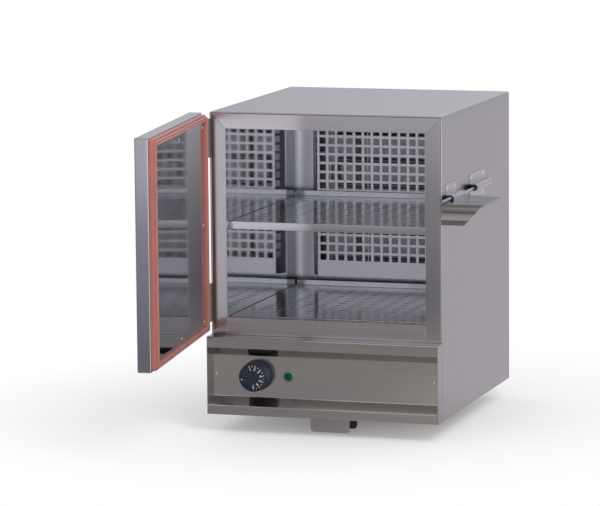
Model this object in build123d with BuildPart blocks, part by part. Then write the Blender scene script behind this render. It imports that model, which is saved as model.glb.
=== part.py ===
from build123d import *
import os
from math import cos, hypot, radians, sin

os.makedirs("parts", exist_ok=True)

# Heated plate cabinet in folded stainless sheet, front towards -Y, +X to the right.
# The origin is the centre of the underside of the base. All sizes are in millimetres.

# ---- body sizes -----------------------------------------------------------------
body_width = 400.0
body_depth = 440.0
body_height = 505.0
sheet = 1.2                    # outer sheet
fold_radius = 2.0              # outside radius of the casing's long folds
hem_thickness = 3.0            # casing sheet turned back on itself along its front edge
hem_depth = 12.0
base_strip_depth = 72.0        # front strip of the base, which carries the bracket

# ---- front frame ----------------------------------------------------------------
frame_border = 28.0            # hem and frame together, round the opening
frame_sheet = 1.5
sill_return = 12.5             # ledge of the sill, turned back into the chamber

# ---- control housing below the door ---------------------------------------------
housing_height = 131.0
housing_projection = 28.0
housing_top_lip = 18.0
housing_bottom_lip = 16.0
housing_recess = 16.5          # depth of the recessed control panel behind the lips
housing_slope = 13.5           # height taken by each sloping band beside the recess
housing_screw_inset = 11.0
screw_radius = 2.6
screw_head_height = 1.6

# ---- chamber --------------------------------------------------------------------
liner_sheet = 1.0
sill_height = 29.0
chamber_rise = 16.0            # chamber floor above the control housing
rear_space = 36.0              # liner's rear wall to the rear of the casing
heater_box_depth = 27.0
heater_box_side_gap = 22.0     # heater box to the chamber's side walls
heater_box_rise = 31.0         # heater box above the chamber floor
heater_box_top_gap = 9.0
wall_lap = 12.0                # rear wall of the liner laps the heater box by this much

# ---- rear guard -----------------------------------------------------------------
guard_side_gap = 26.0          # foot of the guard to the chamber's side walls
guard_depth = 19.0             # guard's face in front of the chamber's rear wall
guard_splay = 13.0             # each side of the guard spreads by this to its foot
guard_foot = 7.8               # foot turned in on the rear wall
guard_rise = 30.5              # guard above the chamber floor
guard_top_gap = 3.5
guard_seam_lip = 5.0
guard_hole = 11.5
guard_columns = 16
guard_seam_column = 5          # the two panels meet across this column of holes
guard_column_pitch = 16.35
guard_row_pitch = 15.8
guard_plain_strip = 34.0       # bottom of the guard to the middle of its lowest row
guard_screw_radius = 2.2
guard_screw_inset = 5.2        # from the outer edge of the foot

# ---- heating element ------------------------------------------------------------
element_radius = 4.0
element_side_gap = 38.0        # element to the sides of the heater box
element_end_gap = 26.0         # element to the floor and roof of the heater box
element_pitch = 44.0
element_bend = 14.0
element_support_width = 12.0
element_support_inset = 80.0   # support strips from the sides of the heater box
element_support_lap = 24.0     # support strips stop this far from floor and roof
bulb_radius = 3.0
bulb_length = 90.0

# ---- shelves and runners --------------------------------------------------------
shelf_sheet = 1.2
shelf_side_gap = 1.5
shelf_rear_gap = 5.0
shelf_front_setback = 17.0     # front face of the cabinet to the shelf's lip
shelf_lip = 13.0
shelf_upstand = 9.0
upper_shelf_rise = 173.0       # shelf tops above the chamber floor
lower_shelf_rise = 14.2
slot_length = 13.0
slot_width = 4.0
slot_pitch_x = 27.0
slot_pitch_y = 25.0
slot_margin = 20.0             # least plain sheet round the field of slots
shelf_seat_gap = 0.2
runner_sheet = 1.2
runner_width = 12.0
runner_height = 12.0
runner_front_setback = 20.0
runner_rear_gap = 12.0

# ---- door -----------------------------------------------------------------------
door_open_angle = 83.2         # from closed to the position that is modelled
door_edge_gap = 1.0            # door to casing, at the sides and top
door_bottom_gap = 1.8          # door to the control housing
door_thickness = 22.0
door_flange = 16.0             # returned rim of the pan, under the seal
seal_height = 12.0
seal_width = 11.0
seal_step_height = 7.5
seal_step = 2.5
seal_edge_inset = 3.0
seal_frame_gap = 0.3
inner_panel_height = 6.0
inner_panel_gap = 0.4          # seal to the raised inner panel
rivet_radius = 2.4
rivet_height = 1.0
rivet_inset = 9.0
edge_plug_offset = 90.0        # plugs in the free edge, either side of mid height
edge_plug_radius = 2.2
edge_plug_height = 0.8

# ---- hinges ---------------------------------------------------------------------
hinge_height = 65.0
hinge_sheet = 1.2
hinge_knuckle_radius = 2.5
hinge_pin_radius = 1.25
hinge_pin_clearance = 0.05
hinge_knuckle_gap = 0.3
hinge_leaf_width = 24.0
hinge_door_leaf_width = 19.2
hinge_wrap = 3.0               # frame leaf turned over the front edge of the casing
hinge_axis_outset = 2.5        # axis beyond the casing's side
hinge_axis_forward = 4.0       # axis in front of the frame
upper_hinge_drop = 11.0        # top of the door to the top of the upper hinge
lower_hinge_rise = 19.0        # bottom of the door to the bottom of the lower hinge

# ---- thermostat and lamp --------------------------------------------------------
knob_offset = 83.0             # from the casing's left side
control_height = 66.5
knob_radius = 26.0
knob_depth = 24.0
knob_panel_gap = 1.5
knob_rib_count = 24
knob_rib_depth = 0.6
knob_rim = 1.5
spindle_radius = 3.0
spindle_clearance = 0.05
spindle_panel_clearance = 0.4
spindle_grip = 15.0            # length of spindle inside the knob
thermostat_size = 44.0
thermostat_depth = 30.0
lamp_offset = 138.0
lamp_lens_radius = 6.8
lamp_bezel_radius = 9.5
lamp_bezel_height = 2.5
lamp_lens_height = 4.0
lamp_body_length = 26.0
lamp_body_radius = 6.0

# ---- turn latch on the right side -----------------------------------------------
latch_axis_height = 368.5
latch_axis_outset = 9.0        # axis from the casing's right side
latch_spindle_radius = 2.0
latch_bore_clearance = 0.05
latch_sheet = 1.5
latch_plate_width = 69.5       # outwards from the axis, at the top
latch_plate_depth = 4.0        # thickness of the dished catch plate
latch_plate_drop = 34.0
latch_door_gap = 0.7           # closed door to the back of the catch plate
latch_slant = 31.0             # catch plate's lower corner is cut back by this much
latch_dish_depth = 2.4
latch_dish_top = 5.0
latch_dish_height = 19.0
latch_edge_lip = 5.0
latch_tray_rear = 81.0         # behind the front face of the casing
latch_lobe_rear = 104.0
latch_lobe_width = 14.0
latch_lobe_gap = 2.5
latch_front_curl = 18.0        # rear end of the front curl, behind the front face
clip_sheet = 1.2
clip_side_gap = 0.8
clip_flange = 17.0
clip_lower_flange = 15.0
front_clip_start = 21.5
front_clip_length = 62.0
rear_clip_start = 173.0
rear_clip_length = 94.0
weld_radius = 1.8
weld_height = 0.25
weld_inset = 8.0
bush_radius = 5.0              # plastic bush in each end of each clip
bush_length = 14.0
bush_lead = 0.8                # bush stands out of the clip by this much

# ---- locating bracket under the base --------------------------------------------
bracket_width = 68.0
bracket_sheet = 1.5
bracket_setback = 17.0         # front face of the cabinet to the bracket
bracket_span = 48.0
bracket_leg = 19.0             # straight height of each leg
bracket_toe = 12.0             # height of the turned toe
bracket_toe_lean = 4.0
bracket_corner = 6.0

# ---- rear services --------------------------------------------------------------
gland_inset = 60.0             # from the casing's right side
gland_height = 45.0
gland_hex = 11.0
gland_thread_radius = 8.0
gland_bore = 4.0
gland_length = 22.0
terminal_length = 44.0
terminal_width = 20.0
terminal_height = 18.0
vent_length = 36.0
vent_width = 4.0
vent_pitch = 12.0
vent_count = 5
vent_height = 68.0
rear_screw_inset = 10.0

# ---- places worked out from the sizes -------------------------------------------
half_width = body_width / 2
front = -body_depth / 2
rear = body_depth / 2
opening_half = half_width - frame_border
opening_top = body_height - frame_border
sill_top = housing_height + sill_height
chamber_floor = housing_height + chamber_rise
liner_rear = rear - rear_space
panel_face = front - housing_projection + housing_recess
door_left = -half_width + door_edge_gap
door_width = body_width - 2 * door_edge_gap
door_bottom = housing_height + door_bottom_gap
door_top = body_height - door_edge_gap
hinge_x = -half_width - hinge_axis_outset
hinge_y = front - hinge_axis_forward
upper_hinge_top = door_top - upper_hinge_drop
lower_hinge_top = door_bottom + lower_hinge_rise + hinge_height
latch_x = half_width + latch_axis_outset
heater_box_width = 2 * (opening_half - heater_box_side_gap)
heater_box_bottom = chamber_floor + heater_box_rise
heater_box_top = opening_top - heater_box_top_gap
guard_foot_half = opening_half - guard_side_gap
guard_face_half = guard_foot_half - guard_splay
guard_face = rear - rear_space - guard_depth
guard_bottom = chamber_floor + guard_rise
guard_top = opening_top - guard_top_gap
guard_seam = (guard_seam_column - (guard_columns - 1) / 2) * guard_column_pitch
upper_shelf_top = chamber_floor + upper_shelf_rise
lower_shelf_top = chamber_floor + lower_shelf_rise
gland_x = half_width - gland_inset


def facing_front(y):
    """Plane parallel to the front at depth y; its sketches read X across and Z up."""
    return Plane.XZ.offset(-y)


def finish(piece, name):
    """Label a piece and write it to its own file."""
    piece.part.label = name
    export_step(piece.part, f"parts/{name}.step")


def slab(x, y, z):
    """Box between the given low and high limits on each axis."""
    with BuildPart() as block:
        with BuildSketch(Plane.XY.offset(z[0])):
            with Locations(((x[0] + x[1]) / 2, (y[0] + y[1]) / 2)):
                Rectangle(x[1] - x[0], y[1] - y[0])
        extrude(amount=z[1] - z[0])
    return block


def folded_strip(points, x, thickness):
    """Sheet folded along a centre line of (y, z) points, running between two x limits."""
    with BuildPart() as strip:
        with BuildSketch(Plane.YZ.offset(x[0])):
            with BuildLine():
                Polyline(*points)
            trace(line_width=thickness)
        extrude(amount=x[1] - x[0])
    return strip


def rod(x, z, radius, start, length):
    """Round bar along Y, from depth start towards the rear."""
    with BuildPart() as bar:
        with BuildSketch(facing_front(start)):
            with Locations((x, z)):
                Circle(radius)
        extrude(amount=-length)
    return bar.part


# ---- casing ---------------------------------------------------------------------
def casing_arch(wall, depth):
    """Inverted U of the given wall and depth, with the casing's outside size."""
    with BuildPart() as arch:
        with BuildSketch(facing_front(front)):
            with Locations((0, body_height / 2)):
                Rectangle(body_width, body_height)
            with Locations((0, (body_height - wall) / 2)):
                Rectangle(body_width - 2 * wall, body_height - wall, mode=Mode.SUBTRACT)
        extrude(amount=-depth)
    return arch.part


with BuildPart() as outer_wrap:
    add(casing_arch(sheet, body_depth))
    add(casing_arch(hem_thickness, hem_depth))
    top_folds = outer_wrap.edges().filter_by(Axis.Y).filter_by(
        lambda e: abs(e.center().Z - body_height) < sheet / 2
    )
    fillet(top_folds, fold_radius)
finish(outer_wrap, "outer_wrap")

inside = half_width - sheet
hem_inside = half_width - hem_thickness
strip_rear = front + base_strip_depth
with BuildPart() as base_front_strip:
    with BuildSketch(Plane.XY):
        with Locations((0, (front + strip_rear) / 2)):
            Rectangle(2 * hem_inside, base_strip_depth)
        with Locations((0, (front + hem_depth + strip_rear) / 2)):
            Rectangle(2 * inside, base_strip_depth - hem_depth)
    extrude(amount=sheet)
finish(base_front_strip, "base_front_strip")

base_panel = slab((-inside, inside), (strip_rear, rear - sheet), (0, sheet))
finish(base_panel, "base_panel")

with BuildPart() as rear_panel:
    with BuildSketch(facing_front(rear - sheet)):
        with Locations((0, (body_height - sheet) / 2)):
            Rectangle(2 * inside, body_height - sheet)
        with Locations((0, vent_height)):
            with GridLocations(vent_length, vent_pitch, 1, vent_count):
                SlotOverall(vent_length, vent_width, mode=Mode.SUBTRACT)
        with Locations((gland_x, gland_height)):
            Circle(gland_thread_radius, mode=Mode.SUBTRACT)
    extrude(amount=-sheet)
finish(rear_panel, "rear_panel")

rear_screw_x = half_width - rear_screw_inset
with BuildPart() as rear_panel_screws:
    with BuildSketch(facing_front(rear)):
        for height in (rear_screw_inset, body_height / 2, body_height - rear_screw_inset):
            with Locations((-rear_screw_x, height), (0, height), (rear_screw_x, height)):
                Circle(screw_radius)
    extrude(amount=-screw_head_height)
finish(rear_panel_screws, "rear_panel_screws")

# ---- mitred front frame ---------------------------------------------------------
rail_top = body_height - hem_thickness


def frame_member(corners):
    """Flat member of the front frame, through the given (x, z) corners."""
    with BuildPart() as member:
        with BuildSketch(facing_front(front)):
            with BuildLine():
                Polyline(*corners, close=True)
            make_face()
        extrude(amount=-frame_sheet)
    return member


frame_left_post = frame_member([
    (-hem_inside, housing_height), (-opening_half, housing_height),
    (-opening_half, opening_top), (-hem_inside, rail_top),
])
finish(frame_left_post, "frame_left_post")

frame_right_post = frame_member([
    (opening_half, housing_height), (hem_inside, housing_height),
    (hem_inside, rail_top), (opening_half, opening_top),
])
finish(frame_right_post, "frame_right_post")

frame_top_rail = frame_member([
    (-opening_half, opening_top), (opening_half, opening_top),
    (hem_inside, rail_top), (-hem_inside, rail_top),
])
finish(frame_top_rail, "frame_top_rail")

frame_sill = folded_strip(
    [
        (front + frame_sheet / 2, housing_height),
        (front + frame_sheet / 2, sill_top - frame_sheet / 2),
        (front + frame_sheet + sill_return, sill_top - frame_sheet / 2),
    ],
    (-opening_half, opening_half),
    frame_sheet,
)
finish(frame_sill, "frame_sill")

# ---- chamber liner --------------------------------------------------------------
liner_front = front + frame_sheet
liner_out = opening_half + liner_sheet
liner_span = (liner_front, liner_rear)
liner_left_wall = slab((-liner_out, -opening_half), liner_span, (chamber_floor, opening_top))
finish(liner_left_wall, "liner_left_wall")
liner_right_wall = slab((opening_half, liner_out), liner_span, (chamber_floor, opening_top))
finish(liner_right_wall, "liner_right_wall")
liner_roof = slab((-liner_out, liner_out), liner_span, (opening_top, opening_top + liner_sheet))
finish(liner_roof, "liner_roof")
liner_floor = slab(
    (-liner_out, liner_out), liner_span, (chamber_floor - liner_sheet, chamber_floor)
)
finish(liner_floor, "liner_floor")

window_half = heater_box_width / 2 - wall_lap
with BuildPart() as liner_rear_wall:
    with BuildSketch(facing_front(liner_rear)):
        low = chamber_floor - liner_sheet
        high = opening_top + liner_sheet
        with Locations((0, (low + high) / 2)):
            Rectangle(2 * liner_out, high - low)
        with Locations((0, (heater_box_bottom + heater_box_top) / 2)):
            Rectangle(
                2 * window_half,
                heater_box_top - heater_box_bottom - 2 * wall_lap,
                mode=Mode.SUBTRACT,
            )
    extrude(amount=-liner_sheet)
finish(liner_rear_wall, "liner_rear_wall")

# ---- heater box, element and thermostat bulb ------------------------------------
box_front = liner_rear + liner_sheet
box_rear = box_front + heater_box_depth
box_middle = (heater_box_bottom + heater_box_top) / 2
box_height = heater_box_top - heater_box_bottom
with BuildPart() as heater_box:
    with BuildSketch(facing_front(box_front)):
        with Locations((0, box_middle)):
            Rectangle(heater_box_width, box_height)
    extrude(amount=-heater_box_depth)
    with BuildSketch(facing_front(box_front)):
        with Locations((0, box_middle)):
            Rectangle(heater_box_width - 2 * liner_sheet, box_height - 2 * liner_sheet)
    extrude(amount=-(heater_box_depth - liner_sheet), mode=Mode.SUBTRACT)
finish(heater_box, "heater_box")

element_y = box_front + (heater_box_depth - liner_sheet) / 2
element_reach = heater_box_width / 2 - element_side_gap
element_rise = heater_box_bottom + element_end_gap
element_rows = int((heater_box_top - element_end_gap - element_rise) / element_pitch) + 1
element_path = []
for row in range(element_rows):
    row_height = element_rise + row * element_pitch
    ends = [-element_reach, element_reach]
    if row % 2:
        ends.reverse()
    element_path += [(end, element_y, row_height) for end in ends]
with BuildPart() as heating_element:
    with BuildLine() as element_line:
        FilletPolyline(*element_path, radius=element_bend)
    start = element_line.line @ 0
    with BuildSketch(Plane(start, z_dir=element_line.line % 0)):
        Circle(element_radius)
    sweep()
finish(heating_element, "heating_element")

support_front = element_y + element_radius
support_rear = box_rear - liner_sheet
with BuildPart() as element_supports:
    with BuildSketch(facing_front(support_front)):
        with Locations((0, box_middle)):
            with GridLocations(heater_box_width - 2 * element_support_inset, 1, 2, 1):
                Rectangle(element_support_width, box_height - 2 * element_support_lap)
    extrude(amount=-(support_rear - support_front))
finish(element_supports, "element_supports")

bulb_height = heater_box_bottom + liner_sheet + bulb_radius
with BuildPart() as thermostat_bulb:
    with BuildSketch(Plane.YZ.offset(-bulb_length / 2)):
        with Locations((element_y, bulb_height)):
            Circle(bulb_radius)
    extrude(amount=bulb_length)
finish(thermostat_bulb, "thermostat_bulb")

# ---- insulation between liner and casing ----------------------------------------
insulation_rear = rear - sheet
insulation_front = front + hem_depth
with BuildPart() as wall_insulation:
    with BuildSketch(facing_front(insulation_front)):
        with Locations((0, (chamber_floor + body_height) / 2)):
            Rectangle(2 * inside, body_height - chamber_floor - 2 * sheet)
        with Locations((0, chamber_floor)):
            Rectangle(
                2 * liner_out,
                2 * (opening_top + liner_sheet - chamber_floor),
                mode=Mode.SUBTRACT,
            )
    extrude(amount=-(liner_rear - insulation_front))
    with BuildSketch(facing_front(box_rear)):
        with Locations((0, box_middle)):
            Rectangle(heater_box_width, box_height)
    extrude(amount=-(insulation_rear - box_rear))
finish(wall_insulation, "wall_insulation")

# ---- perforated rear guard, in two panels ---------------------------------------
guard_first_row = guard_bottom + guard_plain_strip
guard_rows = int((guard_top - guard_first_row - guard_hole) / guard_row_pitch) + 1
guard_row_middle = guard_first_row + (guard_rows - 1) * guard_row_pitch / 2
guard_side = hypot(guard_splay, guard_depth)
guard_side_slope = guard_splay / guard_depth
guard_side_shift = liner_sheet * guard_side / guard_depth


def guard_panel(side):
    """Half of the guard from the seam to its foot: side is -1 on the left and 1 on the right."""
    inner_face = guard_face + liner_sheet
    foot_face = liner_rear - liner_sheet
    face_corner = guard_face_half + liner_sheet * guard_side_slope - guard_side_shift
    foot_corner = guard_foot_half - liner_sheet * guard_side_slope - guard_side_shift
    outline = [
        (guard_seam, guard_face),
        (side * guard_face_half, guard_face),
        (side * guard_foot_half, liner_rear),
        (side * (guard_foot_half - guard_foot), liner_rear),
        (side * (guard_foot_half - guard_foot), foot_face),
        (side * foot_corner, foot_face),
        (side * face_corner, inner_face),
        (guard_seam, inner_face),
    ]
    out_of_side = Vector(side * guard_depth, -guard_splay, 0) / guard_side
    down_side = Vector(side * guard_splay, guard_depth, 0) / guard_side
    last_hole = guard_column_pitch * (guard_columns - 1) / 2
    unfolded = last_hole + guard_column_pitch - guard_face_half
    with BuildPart() as panel:
        with BuildSketch(Plane.XY.offset(guard_bottom)):
            with BuildLine():
                Polyline(*outline, close=True)
            make_face()
        extrude(amount=guard_top - guard_bottom)
        with BuildSketch(facing_front(inner_face)):
            with Locations((0, guard_row_middle)):
                with GridLocations(
                    guard_column_pitch, guard_row_pitch, guard_columns, guard_rows
                ):
                    Rectangle(guard_hole, guard_hole)
        extrude(amount=liner_sheet, mode=Mode.SUBTRACT)
        bend = Vector(side * guard_face_half, guard_face, 0)
        with BuildSketch(Plane(bend, x_dir=down_side, z_dir=out_of_side)):
            with Locations((unfolded, side * guard_row_middle)):
                with GridLocations(1, guard_row_pitch, 1, guard_rows):
                    Rectangle(guard_hole, guard_hole)
        extrude(amount=-liner_sheet, mode=Mode.SUBTRACT)
        if side > 0:
            with BuildSketch(facing_front(inner_face)):
                with Locations((guard_seam + liner_sheet / 2, (guard_bottom + guard_top) / 2)):
                    Rectangle(liner_sheet, guard_top - guard_bottom)
            extrude(amount=-guard_seam_lip)
    return panel


rear_guard_left = guard_panel(-1)
finish(rear_guard_left, "rear_guard_left")
rear_guard_right = guard_panel(1)
finish(rear_guard_right, "rear_guard_right")

guard_screw_x = guard_foot_half - guard_screw_inset
with BuildPart() as guard_screws:
    with BuildSketch(facing_front(liner_rear - liner_sheet)):
        for height in (guard_bottom + guard_screw_radius * 2, guard_top - guard_screw_radius * 2):
            with Locations((-guard_screw_x, height), (guard_screw_x, height)):
                Circle(guard_screw_radius)
    extrude(amount=screw_head_height)
finish(guard_screws, "guard_screws")


# ---- runners and slotted shelves ------------------------------------------------
def runner(side, shelf_top):
    """Angle on one wall of the chamber: side is -1 on the left and 1 on the right."""
    seat = shelf_top - shelf_sheet - shelf_seat_gap
    wall = opening_half
    with BuildPart() as angle:
        with BuildSketch(facing_front(front + runner_front_setback)):
            with BuildLine():
                Polyline(
                    (side * wall, seat),
                    (side * (wall - runner_width), seat),
                    (side * (wall - runner_width), seat - runner_sheet),
                    (side * (wall - runner_sheet), seat - runner_sheet),
                    (side * (wall - runner_sheet), seat - runner_height),
                    (side * wall, seat - runner_height),
                    close=True,
                )
            make_face()
        extrude(amount=-(liner_rear - runner_rear_gap - front - runner_front_setback))
    return angle


for level, top in (("upper", upper_shelf_top), ("lower", lower_shelf_top)):
    for hand, side in (("left", -1), ("right", 1)):
        finish(runner(side, top), f"{level}_runner_{hand}")

shelf_half = opening_half - shelf_side_gap
shelf_front = front + shelf_front_setback
shelf_rear = guard_face - shelf_rear_gap
slot_columns = int(2 * (shelf_half - slot_margin) / slot_pitch_x)
slot_rows = int((shelf_rear - shelf_front - 2 * slot_margin) / slot_pitch_y)


def slotted_shelf(top):
    """Slotted sheet with a front lip turned down and a rear edge turned up."""
    with BuildPart() as shelf:
        with BuildSketch(Plane.XY.offset(top - shelf_sheet)):
            with Locations((0, (shelf_front + shelf_rear) / 2)):
                Rectangle(2 * shelf_half, shelf_rear - shelf_front)
                with GridLocations(slot_pitch_x, slot_pitch_y, slot_columns, slot_rows):
                    SlotOverall(slot_length, slot_width, mode=Mode.SUBTRACT)
        extrude(amount=shelf_sheet)
        with BuildSketch(facing_front(shelf_front)):
            with Locations((0, top - shelf_lip / 2)):
                Rectangle(2 * shelf_half, shelf_lip)
        extrude(amount=-shelf_sheet)
        with BuildSketch(facing_front(shelf_rear - shelf_sheet)):
            with Locations((0, top + shelf_upstand / 2)):
                Rectangle(2 * shelf_half, shelf_upstand)
        extrude(amount=-shelf_sheet)
    return shelf


upper_shelf = slotted_shelf(upper_shelf_top)
finish(upper_shelf, "upper_shelf")
lower_shelf = slotted_shelf(lower_shelf_top)
finish(lower_shelf, "lower_shelf")

# ---- control housing ------------------------------------------------------------
lip_face = front - housing_projection
recess_top = housing_height - housing_top_lip - housing_slope
recess_bottom = housing_bottom_lip + housing_slope
skin = sheet / 2
housing_profile = [
    (front, housing_height - skin),
    (lip_face + skin, housing_height - skin),
    (lip_face + skin, housing_height - housing_top_lip),
    (panel_face + skin, recess_top),
    (panel_face + skin, recess_bottom),
    (lip_face + skin, housing_bottom_lip),
    (lip_face + skin, skin),
    (front, skin),
]
knob_x = -half_width + knob_offset
lamp_x = -half_width + lamp_offset
with BuildPart() as control_housing:
    with BuildSketch(Plane.YZ.offset(-inside)):
        with BuildLine():
            Polyline(*housing_profile)
        trace(line_width=sheet)
    extrude(amount=2 * inside)
    with BuildSketch(facing_front(panel_face)):
        with Locations((knob_x, control_height)):
            Circle(spindle_radius + spindle_panel_clearance)
        with Locations((lamp_x, control_height)):
            Circle(lamp_body_radius)
    extrude(amount=-sheet, mode=Mode.SUBTRACT)
finish(control_housing, "control_housing")


def housing_end(x):
    """End plate that closes the control housing, from x outwards by one sheet."""
    with BuildPart() as plate:
        with BuildSketch(Plane.YZ.offset(x)):
            with BuildLine():
                Polyline(
                    (front, 0),
                    (lip_face, 0),
                    (lip_face, housing_height),
                    (front, housing_height),
                    close=True,
                )
            make_face()
        extrude(amount=sheet)
    return plate


housing_end_left = housing_end(-half_width)
finish(housing_end_left, "housing_end_left")
housing_end_right = housing_end(inside)
finish(housing_end_right, "housing_end_right")

housing_screw_x = half_width - housing_screw_inset
with BuildPart() as housing_screws:
    with BuildSketch(facing_front(panel_face)):
        with Locations((-housing_screw_x, control_height), (housing_screw_x, control_height)):
            Circle(screw_radius)
    extrude(amount=screw_head_height)
    fillet(
        housing_screws.faces().sort_by(Axis.Y).group_by(Axis.Y)[0].edges(),
        screw_head_height / 2,
    )
finish(housing_screws, "housing_screws")

# ---- thermostat and its knob ----------------------------------------------------
panel_back = panel_face + sheet
knob_back = panel_face - knob_panel_gap
with BuildPart() as thermostat_body:
    with BuildSketch(facing_front(panel_back)):
        with Locations((knob_x, control_height)):
            RectangleRounded(thermostat_size, thermostat_size, thermostat_size / 8)
    extrude(amount=-thermostat_depth)
finish(thermostat_body, "thermostat_body")

with BuildPart() as thermostat_spindle:
    with BuildSketch(facing_front(panel_back)):
        with Locations((knob_x, control_height)):
            Circle(spindle_radius)
    extrude(amount=sheet + knob_panel_gap + spindle_grip)
finish(thermostat_spindle, "thermostat_spindle")

with BuildPart() as thermostat_knob:
    with BuildSketch(facing_front(knob_back)):
        with Locations((knob_x, control_height)):
            Circle(knob_radius)
            with PolarLocations(knob_radius + knob_rib_depth / 2, knob_rib_count):
                Circle(knob_rib_depth * 2, mode=Mode.SUBTRACT)
    extrude(amount=knob_depth)
    knob_face = thermostat_knob.faces().sort_by(Axis.Y)[0]
    chamfer(knob_face.edges(), knob_rim / 2)
    with BuildSketch(facing_front(knob_back)):
        with Locations((knob_x, control_height)):
            Circle(spindle_radius + spindle_clearance)
    extrude(amount=spindle_grip, mode=Mode.SUBTRACT)
finish(thermostat_knob, "thermostat_knob")

# ---- pilot lamp -----------------------------------------------------------------
with BuildPart() as pilot_lamp_bezel:
    with BuildSketch(facing_front(panel_face)):
        with Locations((lamp_x, control_height)):
            Circle(lamp_bezel_radius)
            Circle(lamp_lens_radius, mode=Mode.SUBTRACT)
    extrude(amount=lamp_bezel_height)
    chamfer(
        pilot_lamp_bezel.faces().sort_by(Axis.Y)[0].outer_wire().edges(),
        lamp_bezel_height / 3,
    )
finish(pilot_lamp_bezel, "pilot_lamp_bezel")

with BuildPart() as pilot_lamp_lens:
    with BuildSketch(facing_front(panel_face)):
        with Locations((lamp_x, control_height)):
            Circle(lamp_lens_radius)
    extrude(amount=lamp_lens_height)
    fillet(pilot_lamp_lens.faces().sort_by(Axis.Y)[0].edges(), lamp_lens_height / 2)
finish(pilot_lamp_lens, "pilot_lamp_lens")

with BuildPart() as pilot_lamp_body:
    with BuildSketch(facing_front(panel_face)):
        with Locations((lamp_x, control_height)):
            Circle(lamp_body_radius)
    extrude(amount=-lamp_body_length)
finish(pilot_lamp_body, "pilot_lamp_body")

# ---- door, in the open position -------------------------------------------------
# The door is laid out from the hinge axis: "along" runs from the hinge to the free
# edge and "inward" from its outer face towards the cabinet when it is shut.
opened = radians(door_open_angle)
along_dir = Vector(cos(opened), -sin(opened), 0)
inward_dir = Vector(sin(opened), cos(opened), 0)
door_start = hinge_axis_outset + door_edge_gap
rim_inward = hinge_axis_forward - seal_frame_gap - seal_height
outer_inward = rim_inward - door_thickness
door_height = door_top - door_bottom
door_middle = (door_top + door_bottom) / 2


def door_point(along, inward):
    """Point of the opened door in the cabinet's X and Y."""
    return Vector(hinge_x, hinge_y, 0) + along_dir * along + inward_dir * inward


def door_plane(inward):
    """Plane parallel to the door, through its hinge axis line, normal pointing inward."""
    return Plane(door_point(0, inward), x_dir=-along_dir, z_dir=inward_dir)


def door_ring(outer_inset, inner_inset):
    """Rectangular ring on the door, between two insets from the door's edge."""
    with Locations((-(door_start + door_width / 2), door_middle)):
        Rectangle(door_width - 2 * outer_inset, door_height - 2 * outer_inset)
        if inner_inset:
            Rectangle(
                door_width - 2 * inner_inset,
                door_height - 2 * inner_inset,
                mode=Mode.SUBTRACT,
            )


with BuildPart() as door_pan:
    with BuildSketch(door_plane(outer_inward)):
        door_ring(0, 0)
    extrude(amount=door_thickness)
    with BuildSketch(door_plane(outer_inward + sheet)):
        door_ring(sheet, 0)
    extrude(amount=door_thickness - 2 * sheet, mode=Mode.SUBTRACT)
    with BuildSketch(door_plane(rim_inward - sheet)):
        door_ring(door_flange, 0)
    extrude(amount=sheet, mode=Mode.SUBTRACT)
finish(door_pan, "door_pan")

with BuildPart() as door_insulation:
    with BuildSketch(door_plane(outer_inward + sheet)):
        door_ring(sheet, 0)
    extrude(amount=door_thickness - 2 * sheet)
finish(door_insulation, "door_insulation")

with BuildPart() as door_gasket:
    with BuildSketch(door_plane(rim_inward)):
        door_ring(seal_edge_inset, seal_edge_inset + seal_width)
    extrude(amount=seal_step_height)
    with BuildSketch(door_plane(rim_inward + seal_step_height)):
        door_ring(seal_edge_inset + seal_step, seal_edge_inset + seal_width)
    extrude(amount=seal_height - seal_step_height)
finish(door_gasket, "door_gasket")

panel_inset = seal_edge_inset + seal_width + inner_panel_gap
with BuildPart() as door_inner_panel:
    with BuildSketch(door_plane(rim_inward)):
        door_ring(panel_inset, 0)
    extrude(amount=inner_panel_height)
    with BuildSketch(door_plane(rim_inward)):
        door_ring(panel_inset + liner_sheet, 0)
    extrude(amount=inner_panel_height - liner_sheet, mode=Mode.SUBTRACT)
finish(door_inner_panel, "door_inner_panel")

rivet_from_edge = panel_inset + rivet_inset
rivet_columns = (
    -(door_start + rivet_from_edge),
    -(door_start + door_width / 2),
    -(door_start + door_width - rivet_from_edge),
)
rivet_levels = (door_bottom + rivet_from_edge, door_middle, door_top - rivet_from_edge)
with BuildPart() as door_rivets:
    with BuildSketch(door_plane(rim_inward + inner_panel_height)):
        for column in rivet_columns:
            for height in rivet_levels:
                if (column, height) != (rivet_columns[1], rivet_levels[1]):
                    with Locations((column, height)):
                        Circle(rivet_radius)
    extrude(amount=rivet_height)
finish(door_rivets, "door_rivets")

free_edge_middle = door_point(door_start + door_width, (outer_inward + rim_inward) / 2)
with BuildPart() as door_edge_plugs:
    with BuildSketch(Plane(free_edge_middle, x_dir=inward_dir, z_dir=along_dir)):
        for height in (door_middle - edge_plug_offset, door_middle + edge_plug_offset):
            with Locations((0, height)):
                Circle(edge_plug_radius)
    extrude(amount=edge_plug_height)
finish(door_edge_plugs, "door_edge_plugs")

# ---- butt hinges ----------------------------------------------------------------
knuckle_length = (hinge_height - 2 * hinge_knuckle_gap) / 3
knuckle_bore = hinge_pin_radius + hinge_pin_clearance
leaf_outer_x = -half_width - hinge_sheet


def hinge_barrel(radius, bottom, length):
    """Upright cylinder on the hinge axis."""
    with BuildPart() as barrel:
        with BuildSketch(Plane.XY.offset(bottom)):
            with Locations((hinge_x, hinge_y)):
                Circle(radius)
        extrude(amount=length)
    return barrel.part


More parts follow.
